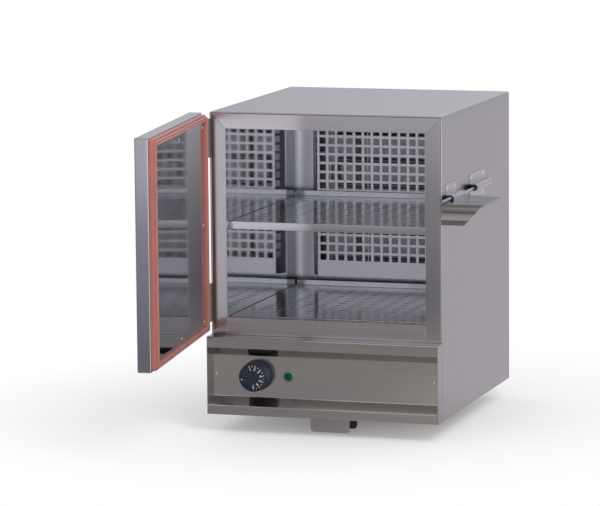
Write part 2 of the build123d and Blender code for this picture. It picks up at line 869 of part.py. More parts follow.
def frame_leaf(top):
    """Leaf on the casing's left side, wrapped over the casing's front edge."""
    bottom = top - hinge_height
    with BuildPart() as leaf:
        with BuildSketch(Plane.XY.offset(bottom)):
            with BuildLine():
                Polyline(
                    (leaf_outer_x, hinge_y),
                    (-half_width, hinge_y),
                    (-half_width, front - hinge_sheet),
                    (-half_width + hinge_wrap, front - hinge_sheet),
                    (-half_width + hinge_wrap, front),
                    (-half_width, front),
                    (-half_width, front + hinge_leaf_width),
                    (leaf_outer_x, front + hinge_leaf_width),
                    close=True,
                )
            make_face()
        extrude(amount=hinge_height)
        add(
            hinge_barrel(
                hinge_knuckle_radius + 2 * hinge_knuckle_gap,
                bottom + knuckle_length,
                knuckle_length + 2 * hinge_knuckle_gap,
            ),
            mode=Mode.SUBTRACT,
        )
        add(hinge_barrel(hinge_knuckle_radius, bottom, knuckle_length))
        add(hinge_barrel(hinge_knuckle_radius, top - knuckle_length, knuckle_length))
        add(hinge_barrel(knuckle_bore, bottom, hinge_height), mode=Mode.SUBTRACT)
    return leaf


def door_leaf(top):
    """Leaf on the door's hinge-side edge, with the middle knuckle."""
    bottom = top - hinge_height
    middle = bottom + knuckle_length + hinge_knuckle_gap
    near = door_start - hinge_sheet
    reach = rim_inward - hinge_door_leaf_width
    corner_points = [
        door_point(near, reach),
        door_point(door_start, reach),
        door_point(door_start, -hinge_knuckle_radius - hinge_knuckle_gap),
        door_point(near, -hinge_knuckle_radius - hinge_knuckle_gap),
    ]
    neck_points = [
        door_point(near, -hinge_knuckle_radius - hinge_knuckle_gap),
        door_point(door_start, -hinge_knuckle_radius - hinge_knuckle_gap),
        door_point(hinge_knuckle_radius, 0),
        door_point(0, 0),
        door_point(0, -hinge_knuckle_radius),
    ]
    with BuildPart() as leaf:
        with BuildSketch(Plane.XY.offset(bottom)):
            with BuildLine():
                Polyline(*[(p.X, p.Y) for p in corner_points], close=True)
            make_face()
        extrude(amount=hinge_height)
        with BuildSketch(Plane.XY.offset(middle)):
            with BuildLine():
                Polyline(*[(p.X, p.Y) for p in neck_points], close=True)
            make_face()
        extrude(amount=knuckle_length)
        add(hinge_barrel(hinge_knuckle_radius, middle, knuckle_length))
        add(hinge_barrel(knuckle_bore, middle, knuckle_length), mode=Mode.SUBTRACT)
    return leaf


def hinge_pin(top):
    """Pin through all three knuckles."""
    with BuildPart() as pin:
        add(hinge_barrel(hinge_pin_radius, top - hinge_height, hinge_height))
    return pin


for level, hinge_top in (("upper", upper_hinge_top), ("lower", lower_hinge_top)):
    finish(frame_leaf(hinge_top), f"{level}_hinge_frame_leaf")
    finish(door_leaf(hinge_top), f"{level}_hinge_door_leaf")
    finish(hinge_pin(hinge_top), f"{level}_hinge_pin")

# ---- turn latch -----------------------------------------------------------------
latch_bore = latch_spindle_radius + latch_bore_clearance
saddle_radius = bush_radius + clip_sheet
curl_radius = latch_bore + latch_sheet
shut_door_face = front - seal_frame_gap - seal_height - door_thickness
catch_back = shut_door_face - latch_door_gap
catch_front = catch_back - latch_plate_depth
wall_x = half_width


def latch_clip(start, length):
    """Saddle clip: a half tube round the latch's bushes with a flange above and below."""
    centre = (latch_x, latch_axis_height)
    top_edge = latch_axis_height + saddle_radius + clip_flange
    low_edge = latch_axis_height - saddle_radius - clip_lower_flange
    with BuildPart() as clip:
        with BuildSketch(facing_front(front + start)):
            with Locations((wall_x + clip_sheet / 2, (top_edge + low_edge) / 2)):
                Rectangle(clip_sheet, top_edge - low_edge)
            with Locations(((wall_x + latch_x) / 2, latch_axis_height)):
                Rectangle(latch_x - wall_x, 2 * saddle_radius)
            with Locations(centre):
                Circle(saddle_radius)
            with Locations(((wall_x + latch_x) / 2, latch_axis_height)):
                Rectangle(latch_x - wall_x, 2 * bush_radius, mode=Mode.SUBTRACT)
            with Locations(centre):
                Circle(bush_radius, mode=Mode.SUBTRACT)
        extrude(amount=-length)
        with BuildSketch(Plane.YZ.offset(wall_x + clip_sheet)):
            for level in (top_edge - weld_inset, low_edge + weld_inset / 2):
                with Locations(
                    (front + start + weld_inset, level),
                    (front + start + length - weld_inset, level),
                ):
                    Circle(weld_radius)
        extrude(amount=weld_height)
    return clip


front_clip = latch_clip(front_clip_start, front_clip_length)
finish(front_clip, "latch_clip_front")
rear_clip = latch_clip(rear_clip_start, rear_clip_length)
finish(rear_clip, "latch_clip_rear")

spindle_end = front + rear_clip_start + rear_clip_length
with BuildPart() as latch_spindle:
    add(
        rod(
            latch_x, latch_axis_height, latch_spindle_radius,
            catch_back, spindle_end - catch_back,
        )
    )
finish(latch_spindle, "latch_spindle")

plate_top = latch_axis_height - latch_bore
plate_bottom = plate_top - latch_sheet
tray_out = latch_x + latch_plate_width
tray_in = latch_x + saddle_radius + clip_side_gap
lobe_rear = front + latch_lobe_rear
tray_rear = front + latch_tray_rear
clip_front_y = front + front_clip_start
clip_rear_y = clip_front_y + front_clip_length
curl_front_end = front + latch_front_curl
curl_rear_start = clip_rear_y + latch_lobe_gap
lobe_out = latch_x + latch_lobe_width


with BuildPart() as latch_tray:
    with BuildSketch(Plane.XY.offset(plate_bottom)):
        with BuildLine():
            Polyline(
                (latch_x, catch_back),
                (tray_out, catch_back),
                (tray_out, tray_rear),
                (lobe_out + latch_lobe_gap, tray_rear),
                (lobe_out, lobe_rear),
                (latch_x, lobe_rear),
                (latch_x, curl_rear_start),
                (tray_in, curl_rear_start),
                (tray_in, curl_front_end),
                (latch_x, curl_front_end),
                close=True,
            )
        make_face()
    extrude(amount=latch_sheet)
    with BuildSketch(facing_front(catch_back)):
        with Locations((tray_out - latch_sheet / 2, plate_top - latch_edge_lip / 2)):
            Rectangle(latch_sheet, latch_edge_lip)
    extrude(amount=-(tray_rear - catch_back))
    for curl_start, curl_end in ((catch_back, curl_front_end), (curl_rear_start, lobe_rear)):
        add(rod(latch_x, latch_axis_height, curl_radius, curl_start, curl_end - curl_start))
    add(
        rod(latch_x, latch_axis_height, latch_bore, catch_back, lobe_rear - catch_back),
        mode=Mode.SUBTRACT,
    )
finish(latch_tray, "latch_tray")

catch_bottom = plate_top - latch_plate_drop
dish_low = plate_top - latch_dish_top - latch_dish_height
dish_radius = (latch_dish_height**2 / 4 + latch_dish_depth**2) / (2 * latch_dish_depth)
with BuildPart() as latch_catch_plate:
    with BuildSketch(facing_front(catch_front)):
        with BuildLine():
            Polyline(
                (latch_x, catch_bottom),
                (tray_out - latch_slant, catch_bottom),
                (tray_out, plate_top),
                (latch_x, plate_top),
                close=True,
            )
        make_face()
    extrude(amount=-latch_plate_depth)
    with BuildSketch(Plane.YZ.offset(latch_x)):
        with Locations((
            catch_front + latch_dish_depth - dish_radius,
            dish_low + latch_dish_height / 2,
        )):
            Circle(dish_radius)
    extrude(amount=latch_plate_width, mode=Mode.SUBTRACT)
finish(latch_catch_plate, "latch_catch_plate")

with BuildPart() as latch_bushes:
    for start, length in (
        (front_clip_start, front_clip_length), (rear_clip_start, rear_clip_length),
    ):
        for bush_start in (start - bush_lead, start + length + bush_lead - bush_length):
            with BuildSketch(facing_front(front + bush_start)):
                with Locations((latch_x, latch_axis_height)):
                    Circle(bush_radius)
                    Circle(latch_bore, mode=Mode.SUBTRACT)
            extrude(amount=-bush_length)
finish(latch_bushes, "latch_bushes")

# ---- locating bracket under the base --------------------------------------------
leg_front = front + bracket_setback + bracket_sheet / 2
leg_rear = leg_front + bracket_span
half_sheet = bracket_sheet / 2
bracket_base = folded_strip(
    [
        (leg_front + bracket_toe_lean, -bracket_leg - bracket_toe),
        (leg_front, -bracket_leg),
        (leg_front, -half_sheet),
        (leg_rear, -half_sheet),
        (leg_rear, -bracket_leg),
        (leg_rear - bracket_toe_lean, -bracket_leg - bracket_toe),
    ],
    (-bracket_width / 2, bracket_width / 2),
    bracket_sheet,
)
with BuildPart() as locating_bracket:
    add(bracket_base.part)
    low_corners = locating_bracket.edges().filter_by(
        lambda e: e.center().Z < -bracket_leg - bracket_toe / 2
        and abs(abs(e.center().X) - bracket_width / 2) < half_sheet / 2
        and e.length < 2 * bracket_sheet
    )
    fillet(low_corners, bracket_corner)
finish(locating_bracket, "locating_bracket")

# ---- supply gland and terminal block --------------------------------------------
with BuildPart() as cable_gland:
    with BuildSketch(facing_front(rear)):
        with Locations((gland_x, gland_height)):
            RegularPolygon(gland_hex, 6)
    extrude(amount=-gland_length / 3)
    with BuildSketch(facing_front(rear - gland_length / 3)):
        with Locations((gland_x, gland_height)):
            Circle(gland_thread_radius)
    extrude(amount=-gland_length)
    with BuildSketch(facing_front(rear - gland_length)):
        with Locations((gland_x, gland_height)):
            Circle(gland_bore)
    extrude(amount=-2 * gland_length, mode=Mode.SUBTRACT)
finish(cable_gland, "cable_gland")

terminal_block = slab(
    (gland_x - terminal_length / 2, gland_x + terminal_length / 2),
    (rear - 3 * terminal_length, rear - 3 * terminal_length + terminal_width),
    (sheet, sheet + terminal_height),
)
finish(terminal_block, "terminal_block")
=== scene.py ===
import math
import bmesh
import bpy
import numpy as np
from mathutils import Matrix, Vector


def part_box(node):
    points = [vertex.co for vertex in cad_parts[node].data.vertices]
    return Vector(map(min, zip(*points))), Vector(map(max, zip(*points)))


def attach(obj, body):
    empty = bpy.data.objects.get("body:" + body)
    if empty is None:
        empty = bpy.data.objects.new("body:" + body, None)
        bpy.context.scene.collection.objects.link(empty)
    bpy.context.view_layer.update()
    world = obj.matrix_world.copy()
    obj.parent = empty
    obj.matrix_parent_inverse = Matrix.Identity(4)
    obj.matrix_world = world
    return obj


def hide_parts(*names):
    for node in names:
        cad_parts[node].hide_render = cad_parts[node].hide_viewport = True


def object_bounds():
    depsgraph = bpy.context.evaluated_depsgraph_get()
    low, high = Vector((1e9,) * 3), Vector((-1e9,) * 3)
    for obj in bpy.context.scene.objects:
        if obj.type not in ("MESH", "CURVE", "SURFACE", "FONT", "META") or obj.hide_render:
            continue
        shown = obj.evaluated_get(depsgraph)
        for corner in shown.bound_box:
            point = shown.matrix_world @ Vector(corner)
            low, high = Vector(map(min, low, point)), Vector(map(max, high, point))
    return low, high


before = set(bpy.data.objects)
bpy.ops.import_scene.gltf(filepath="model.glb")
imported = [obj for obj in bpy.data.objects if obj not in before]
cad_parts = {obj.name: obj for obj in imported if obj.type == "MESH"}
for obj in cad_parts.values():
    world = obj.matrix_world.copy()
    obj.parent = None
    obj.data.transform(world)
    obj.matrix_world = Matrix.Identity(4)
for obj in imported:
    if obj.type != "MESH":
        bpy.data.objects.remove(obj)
cad_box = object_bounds()
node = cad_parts

# ---------------------------------------------------------------------------
# Studio: a pale floor, one large soft lamp, and a room for the steel to
# reflect: pale behind the cabinet, and on the camera's side light low down,
# most of all to the right, and dark higher up in the middle.
# ---------------------------------------------------------------------------
def shown(name, data):
    """Object of a mesh, lamp or camera, in the scene."""
    thing = bpy.data.objects.new(name, data)
    bpy.context.scene.collection.objects.link(thing)
    return thing


bpy.context.scene.view_settings.view_transform = "Standard"
floor_level = float(cad_box[0][2]) - 0.0004
azimuth, elevation, roll = (math.radians(v) for v in (17.50, 7.99, -0.49))
standpoint = (1.8296, -6.1316, 1.142)
ahead = np.array([-math.sin(azimuth) * math.cos(elevation),
                  math.cos(azimuth) * math.cos(elevation), -math.sin(elevation)])
across = np.array([math.cos(azimuth), math.sin(azimuth), 0.0])
upward = np.cross(across, ahead)
turn = np.eye(4)
turn[:3, 0] = math.cos(roll) * across + math.sin(roll) * upward
turn[:3, 1] = -math.sin(roll) * across + math.cos(roll) * upward
turn[:3, 2] = -ahead
turn[:3, 3] = standpoint
lens = bpy.data.cameras.new("camera")
lens.sensor_width = 36.0
lens.lens = 226.9
lens.shift_x, lens.shift_y = -0.0093, 0.0013
lens.clip_end = 60.0
camera = shown("camera", lens)
camera.matrix_world = Matrix(turn.tolist())
bpy.context.scene.camera = camera


def skin(name, grids, closed=(False, True), ends=True):
    """Mesh object from grids of points, one (rows, columns, 3) array for each shell.

    Point (i, j) is joined to (i + 1, j) and (i, j + 1); closed says whether the last row
    or column joins the first, and ends fills the first and last rows with flat faces."""
    points, faces, start = [], [], 0
    for grid in grids:
        rows, columns = grid.shape[:2]
        i = np.arange(rows if closed[0] else rows - 1)[:, None]
        j = np.arange(columns if closed[1] else columns - 1)[None, :]
        i2, j2 = (i + 1) % rows, (j + 1) % columns
        faces += (np.stack([i * columns + j, i2 * columns + j, i2 * columns + j2,
                            i * columns + j2], axis=-1).reshape(-1, 4) + start).tolist()
        if ends and not closed[0]:
            faces.append(list(range(start, start + columns)))
            faces.append(list(range(start + rows * columns - columns, start + rows * columns)))
        points.append(grid.reshape(-1, 3))
        start += rows * columns
    mesh = bpy.data.meshes.new(name)
    mesh.from_pydata(np.concatenate(points).tolist(), [], faces)
    shape = bmesh.new()
    shape.from_mesh(mesh)
    bmesh.ops.recalc_face_normals(shape, faces=shape.faces)
    shape.to_mesh(mesh)
    shape.free()
    mesh.polygons.foreach_set("use_smooth", np.ones(len(mesh.polygons), dtype=bool))
    mesh.set_sharp_from_angle(angle=math.radians(40))
    mesh.update()
    return shown(name, mesh)


def node_of(tree, kind, **sockets):
    """Shader node of the given kind with its named inputs set or linked."""
    made = tree.nodes.new(kind)
    for key, value in sockets.items():
        socket = made.inputs[key.replace("_", " ")]
        if isinstance(value, bpy.types.NodeSocket):
            tree.links.new(value, socket)
        else:
            socket.default_value = value
    return made


def sums(tree, operation, *terms):
    """Math node: the operation on two or three terms, each a number or a socket."""
    made = tree.nodes.new("ShaderNodeMath")
    made.operation = operation
    for socket, value in zip(made.inputs, terms):
        if isinstance(value, bpy.types.NodeSocket):
            tree.links.new(value, socket)
        else:
            socket.default_value = value
    return made.outputs[0]


def ramp(tree, value, stops):
    """Colour ramp over a socket's value, from (place, colour) stops."""
    made = tree.nodes.new("ShaderNodeValToRGB")
    band = made.color_ramp
    while len(band.elements) < len(stops):
        band.elements.new(0.5)
    for element, (place, colour) in zip(band.elements, stops):
        element.position = place
        element.color = (*colour, 1.0)
    tree.links.new(value, made.inputs["Fac"])
    return made.outputs["Color"]


def blank_tree(owner):
    """Empty node tree of a material or world."""
    owner.use_nodes = True
    owner.node_tree.nodes.clear()
    return owner.node_tree


def to_output(tree, shader, kind="Material"):
    """Link a shader to the surface of a new material or world output."""
    out = tree.nodes.new("ShaderNodeOutput" + kind)
    tree.links.new(shader.outputs[0], out.inputs["Surface"])


room = bpy.data.worlds.new("room")
bpy.context.scene.world = room
tree = blank_tree(room)
bearing = node_of(tree, "ShaderNodeSeparateXYZ",
                  Vector=tree.nodes.new("ShaderNodeTexCoord").outputs["Generated"])
# The room's tones stand at places from 0 at the left to 1 at the right, and pass into
# each other over spans of the upward or the rearward part of a direction.
sideways = sums(tree, "MULTIPLY_ADD", bearing.outputs["X"], 0.5, 0.5)
wall_places = (0.0, 0.2, 0.35, 0.5, 0.65, 0.8, 1.0)
low_wall = [(0.45, 0.44, 0.46), (0.48, 0.47, 0.49), (0.52, 0.51, 0.54), (0.77, 0.75, 0.83),
            (1.05, 1.06, 1.09), (1.35, 1.37, 1.43), (1.2, 1.2, 1.25)]
high_wall = [(0.60, 0.60, 0.62), (0.75, 0.75, 0.78), (0.87, 0.90, 0.94), (0.12, 0.12, 0.13),
             (0.28, 0.27, 0.30), (0.84, 0.80, 0.89), (0.90, 0.86, 0.93)]
back_places = (0.2, 0.45, 0.75)
back_wall = [(0.28, 0.27, 0.26), (0.79, 0.765, 0.855), (0.32, 0.34, 0.38)]
ceiling = (0.56, 0.55, 0.51)
low_to_high, near_to_far, wall_to_ceiling = (0.02, 0.40), (-0.12, 0.28), (0.5, 0.9)


def blended(tree, share, first, second):
    """Mix of two colours by a socket's value."""
    mix = tree.nodes.new("ShaderNodeMix")
    mix.data_type = "RGBA"
    tree.links.new(share, mix.inputs["Factor"])
    for key, value in (("A", first), ("B", second)):
        if isinstance(value, bpy.types.NodeSocket):
            tree.links.new(value, mix.inputs[key])
        else:
            mix.inputs[key].default_value = (*value, 1.0)
    return mix.outputs["Result"]


def between(tree, value, start, end):
    """Value's place between start and end, from 0 to 1."""
    made = tree.nodes.new("ShaderNodeMapRange")
    made.inputs["From Min"].default_value, made.inputs["From Max"].default_value = start, end
    tree.links.new(value, made.inputs["Value"])
    return made.outputs[0]


near = blended(tree, between(tree, bearing.outputs["Z"], *low_to_high),
               ramp(tree, sideways, list(zip(wall_places, low_wall))),
               ramp(tree, sideways, list(zip(wall_places, high_wall))))
far = ramp(tree, sideways, list(zip(back_places, back_wall)))
walls = blended(tree, between(tree, bearing.outputs["Y"], *near_to_far), near, far)
around = blended(tree, between(tree, bearing.outputs["Z"], *wall_to_ceiling), walls, ceiling)
paths = tree.nodes.new("ShaderNodeLightPath")
room.cycles.sampling_method = "NONE"
seen = node_of(tree, "ShaderNodeBackground", Color=blended(
    tree, paths.outputs["Is Camera Ray"], (0.80, 0.80, 0.80), (1.0, 1.0, 1.0)), Strength=1.0)
felt = node_of(tree, "ShaderNodeBackground", Color=around, Strength=1.0)
both = node_of(tree, "ShaderNodeMixShader", Fac=sums(
    tree, "MAXIMUM", paths.outputs["Is Camera Ray"], paths.outputs["Is Diffuse Ray"]))
tree.links.new(felt.outputs[0], both.inputs[1])
tree.links.new(seen.outputs[0], both.inputs[2])
to_output(tree, both, "World")

# The floor's tones for reflected rays stand at places that run forwards: 0.5 lies under
# the cabinet's middle and 1 lies 3.3 m in front of it. Lighter tones take over at the
# right, across a slanting line. Seen directly the floor is white, and it keeps the
# cabinet's shadow near its middle.
floor_left, floor_right, floor_front, floor_rear = -6.0, 6.0, -4.0, 9.0
floor_grid = np.zeros((3, 3, 3))
floor_grid[..., 0] = np.linspace(floor_left, floor_right, 3)[:, None]
floor_grid[..., 1] = np.linspace(floor_front, floor_rear, 3)[None, :]
floor_grid[..., 2] = floor_level
studio_floor = skin("studio_floor", [floor_grid], closed=(False, False), ends=False)
floor_paint = bpy.data.materials.new("floor_paint")
tree = blank_tree(floor_paint)
place = tree.nodes.new("ShaderNodeTexCoord").outputs["Object"]
spot = node_of(tree, "ShaderNodeSeparateXYZ", Vector=place)
away = node_of(tree, "ShaderNodeVectorMath", Vector=place)
away.operation = "LENGTH"
cloth_places = (0.0, 0.33, 0.47, 0.54, 0.58, 0.64, 0.74, 0.9)
cloth = [(0.28, 0.28, 0.29), (0.27, 0.27, 0.29), (0.26, 0.26, 0.29), (0.23, 0.24, 0.28),
         (0.34, 0.315, 0.335), (0.415, 0.38, 0.36), (0.175, 0.185, 0.20), (0.31, 0.30, 0.325)]
right_places = (0.46, 0.56, 0.66, 0.80)
right_cloth = [(0.58, 0.56, 0.59), (0.36, 0.34, 0.32), (1.35, 1.28, 1.28), (1.47, 1.43, 1.48)]
left_to_right, shadow_to_white = (-0.35, -0.05), (0.05, 0.75)
forward = sums(tree, "MULTIPLY_ADD", spot.outputs["Y"], -0.15, 0.5)
slanting = sums(tree, "MULTIPLY_ADD", spot.outputs["Y"], 0.45, spot.outputs["X"])
paths = tree.nodes.new("ShaderNodeLightPath")
matt = node_of(tree, "ShaderNodeBsdfDiffuse", Color=(0.94, 0.94, 0.94, 1.0))
reflected = blended(tree, between(tree, slanting, *left_to_right),
                    ramp(tree, forward, list(zip(cloth_places, cloth))),
                    ramp(tree, forward, list(zip(right_places, right_cloth))))
plain = node_of(tree, "ShaderNodeEmission", Strength=1.0, Color=blended(
    tree, paths.outputs["Is Camera Ray"], reflected, (1.0, 1.0, 1.0)))
fade = between(tree, away.outputs["Value"], *shadow_to_white)
blend = node_of(tree, "ShaderNodeMixShader", Fac=sums(
    tree, "MAXIMUM", fade, sums(tree, "SUBTRACT", 1.0, paths.outputs["Is Camera Ray"])))
tree.links.new(matt.outputs[0], blend.inputs[1])
tree.links.new(plain.outputs[0], blend.inputs[2])
to_output(tree, blend)
studio_floor.data.materials.append(floor_paint)

panel_right, panel_front, panel_height, aim_height = 2.2, 2.4, 2.7, 0.2
panel = bpy.data.lights.new("panel_high", "AREA")
panel.shape = "DISK"
panel.size = 1.8
panel.energy = 60.0
lamp = shown("panel_high", panel)
lamp.location = (panel_right, -panel_front, panel_height)
lamp.rotation_euler = (
    math.atan2(math.hypot(panel_right, panel_front), panel_height - aim_height), 0.0,
    math.atan2(panel_right, panel_front))
lamp.visible_glossy = False


# ---------------------------------------------------------------------------
# Casing: one 1.2 mm stainless sheet folded over the top and down both sides,
# its front edge hemmed back on itself. Satin rolled finish, grained along
# its depth.
# ---------------------------------------------------------------------------
def stainless(name, tone, roughness, along, stretch, scuff=0.5, wave=0.0):
    """Rolled stainless sheet.

    Fine scratches and broader streaks are noise squeezed across the rolling direction
    (along); reflections are drawn out in the direction stretch. scuff sets how strong
    they are, and wave adds the slow unevenness of thin sheet to the bump."""
    paint = bpy.data.materials.new(name)
    tree = blank_tree(paint)
    place = tree.nodes.new("ShaderNodeTexCoord").outputs["Object"]
    fine = node_of(tree, "ShaderNodeTexNoise", Scale=1.0, Detail=2.0, Vector=node_of(
        tree, "ShaderNodeMapping", Vector=place,
        Scale=[6.0 if axis == along else 1400.0 for axis in "XYZ"]).outputs[0])
    broad = node_of(tree, "ShaderNodeTexNoise", Scale=1.0, Detail=3.0, Vector=node_of(
        tree, "ShaderNodeMapping", Vector=place,
        Scale=[1.2 if axis == along else 160.0 for axis in "XYZ"]).outputs[0])
    smear = node_of(tree, "ShaderNodeTexNoise", Vector=place, Scale=9.0, Detail=4.0)
    mixed = sums(tree, "ADD", sums(tree, "MULTIPLY", fine.outputs["Fac"], 0.45),
                 sums(tree, "MULTIPLY", broad.outputs["Fac"], 0.55))
    colour = ramp(tree, mixed, [(0.3, tuple(c * (1.0 - 0.10 * scuff) for c in tone)),
                                (0.7, tuple(c * (1.0 + 0.08 * scuff) for c in tone))])
    rough = sums(tree, "ADD", sums(tree, "MULTIPLY", broad.outputs["Fac"], 0.12 * scuff),
                 sums(tree, "MULTIPLY_ADD", smear.outputs["Fac"], 0.10 * scuff,
                      roughness - 0.11 * scuff))
    slow = node_of(tree, "ShaderNodeTexNoise", Vector=place, Scale=5.0, Detail=1.0)
    height = sums(tree, "ADD", sums(tree, "MULTIPLY", fine.outputs["Fac"], 0.00001 * scuff),
                  sums(tree, "MULTIPLY", slow.outputs["Fac"], 0.001 * wave))
    bump = node_of(tree, "ShaderNodeBump", Height=height, Strength=1.0, Distance=1.0)
    drawn = tree.nodes.new("ShaderNodeCombineXYZ")
    for axis, socket in zip("XYZ", drawn.inputs):
        socket.default_value = 1.0 if axis in stretch else 0.0
    lay = tree.nodes.new("ShaderNodeVectorTransform")
    lay.vector_type, lay.convert_from, lay.convert_to = "VECTOR", "OBJECT", "WORLD"
    tree.links.new(drawn.outputs[0], lay.inputs[0])
    shader = node_of(tree, "ShaderNodeBsdfPrincipled", Base_Color=colour, Metallic=1.0,
                     Roughness=rough, Normal=bump.outputs[0], Tangent=lay.outputs[0])
    shader.inputs["Anisotropic"].default_value = min(0.8, 1.5 * scuff)
    to_output(tree, shader)
    return paint


def rounded(corners, radii, steps=6):
    """Polyline through 2-D corners with each inner corner replaced by an arc.

    An arc of the given radius touches both runs: its ends lie radius / tan(half the
    angle between them) from the corner, and it is drawn as steps + 1 points."""
    corners = np.asarray(corners, float)
    line = [corners[0]]
    for before, corner, after, radius in zip(corners, corners[1:], corners[2:], radii):
        inward, outward = before - corner, after - corner
        inward, outward = inward / np.hypot(*inward), outward / np.hypot(*outward)
        half = math.acos(float(np.clip(inward @ outward, -1, 1))) / 2
        middle = (inward + outward) / np.hypot(*(inward + outward))
        centre = corner + middle * radius / math.sin(half)
        first = corner + inward * radius / math.tan(half) - centre
        last = corner + outward * radius / math.tan(half) - centre
        begin, finish = math.atan2(first[1], first[0]), math.atan2(last[1], last[0])
        sweep = (finish - begin + math.pi) % (2 * math.pi) - math.pi
        angle = begin + sweep * np.linspace(0, 1, steps + 1)
        line += list(centre + radius * np.column_stack([np.cos(angle), np.sin(angle)]))
    line.append(corners[-1])
    return np.array(line)


def finely(line, step):
    """The same 2-D polyline with points added so that no run is longer than step."""
    parts = []
    for a, b in zip(line, line[1:]):
        count = max(1, int(math.ceil(np.hypot(*(b - a)) / step)))
        parts.append(a + (b - a) * np.linspace(0, 1, count, endpoint=False)[:, None])
    return np.concatenate(parts + [line[-1:]])


def sideways_of(line):
    """Unit vectors square to a 2-D polyline, to its right, averaged at each point."""
    run = np.gradient(line, axis=0)
    run /= np.hypot(run[:, 0], run[:, 1])[:, None]
    return np.column_stack([run[:, 1], -run[:, 0]])


def dress(thing, body, slot, paint, *nodes):
    """Give a finished piece its material and body, and hide the nodes it stands for; slot is not
    used.
    """
    thing.data.materials.clear()
    thing.data.materials.append(paint)
    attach(thing, body)
    if nodes:
        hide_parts(*nodes)


casing_satin = stainless("casing_satin", (0.50, 0.485, 0.50), 0.25, "Y", "XZ", 0.4)
low, high = np.array(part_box("outer_wrap"))
fold, sheet, hem, hem_long = 0.0032, 0.0012, 0.0015, 0.012
arch = finely(rounded([(low[0], low[2]), (low[0], high[2]), (high[0], high[2]),
                       (high[0], low[2])], [fold, fold]), 0.02)
inward = sideways_of(arch)
bend = np.linspace(-math.pi / 2, math.pi / 2, 9)
section = np.concatenate([
    np.column_stack([np.linspace(high[1], low[1] + hem + 0.0001, 23), np.zeros(23)]),
    np.column_stack([low[1] + hem - hem * np.cos(bend), hem + hem * np.sin(bend)]),
    [(low[1] + hem_long, 0.003), (low[1] + hem_long, 0.0013)],
    np.column_stack([np.linspace(low[1] + hem_long + 0.0005, high[1], 22), np.full(22, sheet)]),
])
# The large faces are dished by up to about 0.5 mm, unevenly along the sheet.
dish_depth = 0.0003
lengths = np.concatenate([[0], np.cumsum(np.hypot(*np.diff(arch, axis=0).T))])
depth = (section[:, 0] - low[1]) / (high[1] - low[1])
dish = dish_depth * (np.sin(math.pi * depth)[None, :] ** 2
                     * (1 + 0.6 * np.sin(9.0 * lengths + 1.0))[:, None]
                     * np.abs(np.sin(6.4 * lengths))[:, None])
inset = section[None, :, 1] + dish
casing = np.stack([arch[:, 0, None] + inward[:, 0, None] * inset,
                   np.broadcast_to(section[None, :, 0], inset.shape),
                   arch[:, 1, None] + inward[:, 1, None] * inset], axis=-1)
dress(skin("casing_wrap", [casing]), "cabinet", "casing_steel", casing_satin, "outer_wrap")

# ---------------------------------------------------------------------------
# Base and rear panel: flat stainless sheets let into the casing, the rear one
# held by nine screws, with ventilation slots low down.
# ---------------------------------------------------------------------------
def evened(thing):
    """Shade a folded sheet by its large faces, so that flats look flat up to each bend."""
    weighted = thing.modifiers.new("flat_faces", "WEIGHTED_NORMAL")
    weighted.weight = 100
    weighted.keep_sharp = True
    return thing


def softened(name, edge, steps=2, gather=True):
    """Copy of a sheet piece's mesh, merged, with its edges broken by a small round.

    gather joins the triangles of each flat face first, which a sheet with hundreds of
    holes does without."""
    mesh = node[name].data.copy()
    mesh.name = name + "_soft"
    shape = bmesh.new()
    shape.from_mesh(mesh)
    bmesh.ops.remove_doubles(shape, verts=shape.verts, dist=1e-6)
    if gather:
        bmesh.ops.dissolve_limit(shape, angle_limit=math.radians(0.3), verts=shape.verts,
                                 edges=shape.edges)
    shape.to_mesh(mesh)
    shape.free()
    mesh.polygons.foreach_set("use_smooth", np.ones(len(mesh.polygons), dtype=bool))
    thing = shown(name + "_soft", mesh)
    round_off = thing.modifiers.new("broken_edges", "BEVEL")
    round_off.width = edge
    round_off.segments = steps
    round_off.limit_method = "ANGLE"
    round_off.angle_limit = math.radians(35)
    return evened(thing)


def lathe(profiles, centres, spin_axis, side, turns=32, ridge=None):
    """Surfaces of revolution.

    Each profile is a line of (radius, height); a point is centre + height * axis
    + radius * (cos(t) * side + sin(t) * (axis x side)), for t round a full turn. ridge,
    if given, multiplies the radius by a function of t and of the row."""
    axis, side = np.array(spin_axis, float), np.array(side, float)
    other = np.cross(axis, side)
    t = np.linspace(0, 2 * math.pi, turns, endpoint=False)
    ring = np.cos(t)[:, None] * side + np.sin(t)[:, None] * other
    grids = []
    for profile, centre in zip(profiles, centres):
        profile = np.asarray(profile, float)
        radius = np.broadcast_to(profile[:, 0, None], (len(profile), turns))
        if ridge is not None:
            radius = radius * ridge(t[None, :], np.arange(len(profile))[:, None])
        grids.append(np.array(centre) + radius[..., None] * ring[None]
                     + profile[:, 1, None, None] * axis)
    return grids


panel_steel = stainless("panel_steel", (0.50, 0.485, 0.49), 0.30, "X", "Z", 0.5)
for title in ("base_panel", "base_front_strip", "rear_panel"):
    dress(softened(title, 0.0003), "cabinet", "casing_steel", panel_steel, title)

screw_steel = stainless("screw_steel", (0.80, 0.79, 0.80), 0.30, "X", "Z", 0.2)
low, high = np.array(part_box("rear_panel_screws"))
head_radius = 0.0026
head = [(head_radius, 0.0), (head_radius, 0.0005), (0.0022, 0.0011), (0.0013, 0.0015),
        (0.0006, 0.0016), (0.0005, 0.0007), (0.0002, 0.0007)]
screw_places = [(x, low[1], z) for x in (low[0] + head_radius, 0.0, high[0] - head_radius)
                for z in (low[2] + head_radius, (low[2] + high[2]) / 2, high[2] - head_radius)]
dress(skin("rear_screw_heads", lathe([head] * 9, screw_places, (0, 1, 0), (1, 0, 0), 20)),
      "cabinet", "fastener_steel", screw_steel, "rear_panel_screws")

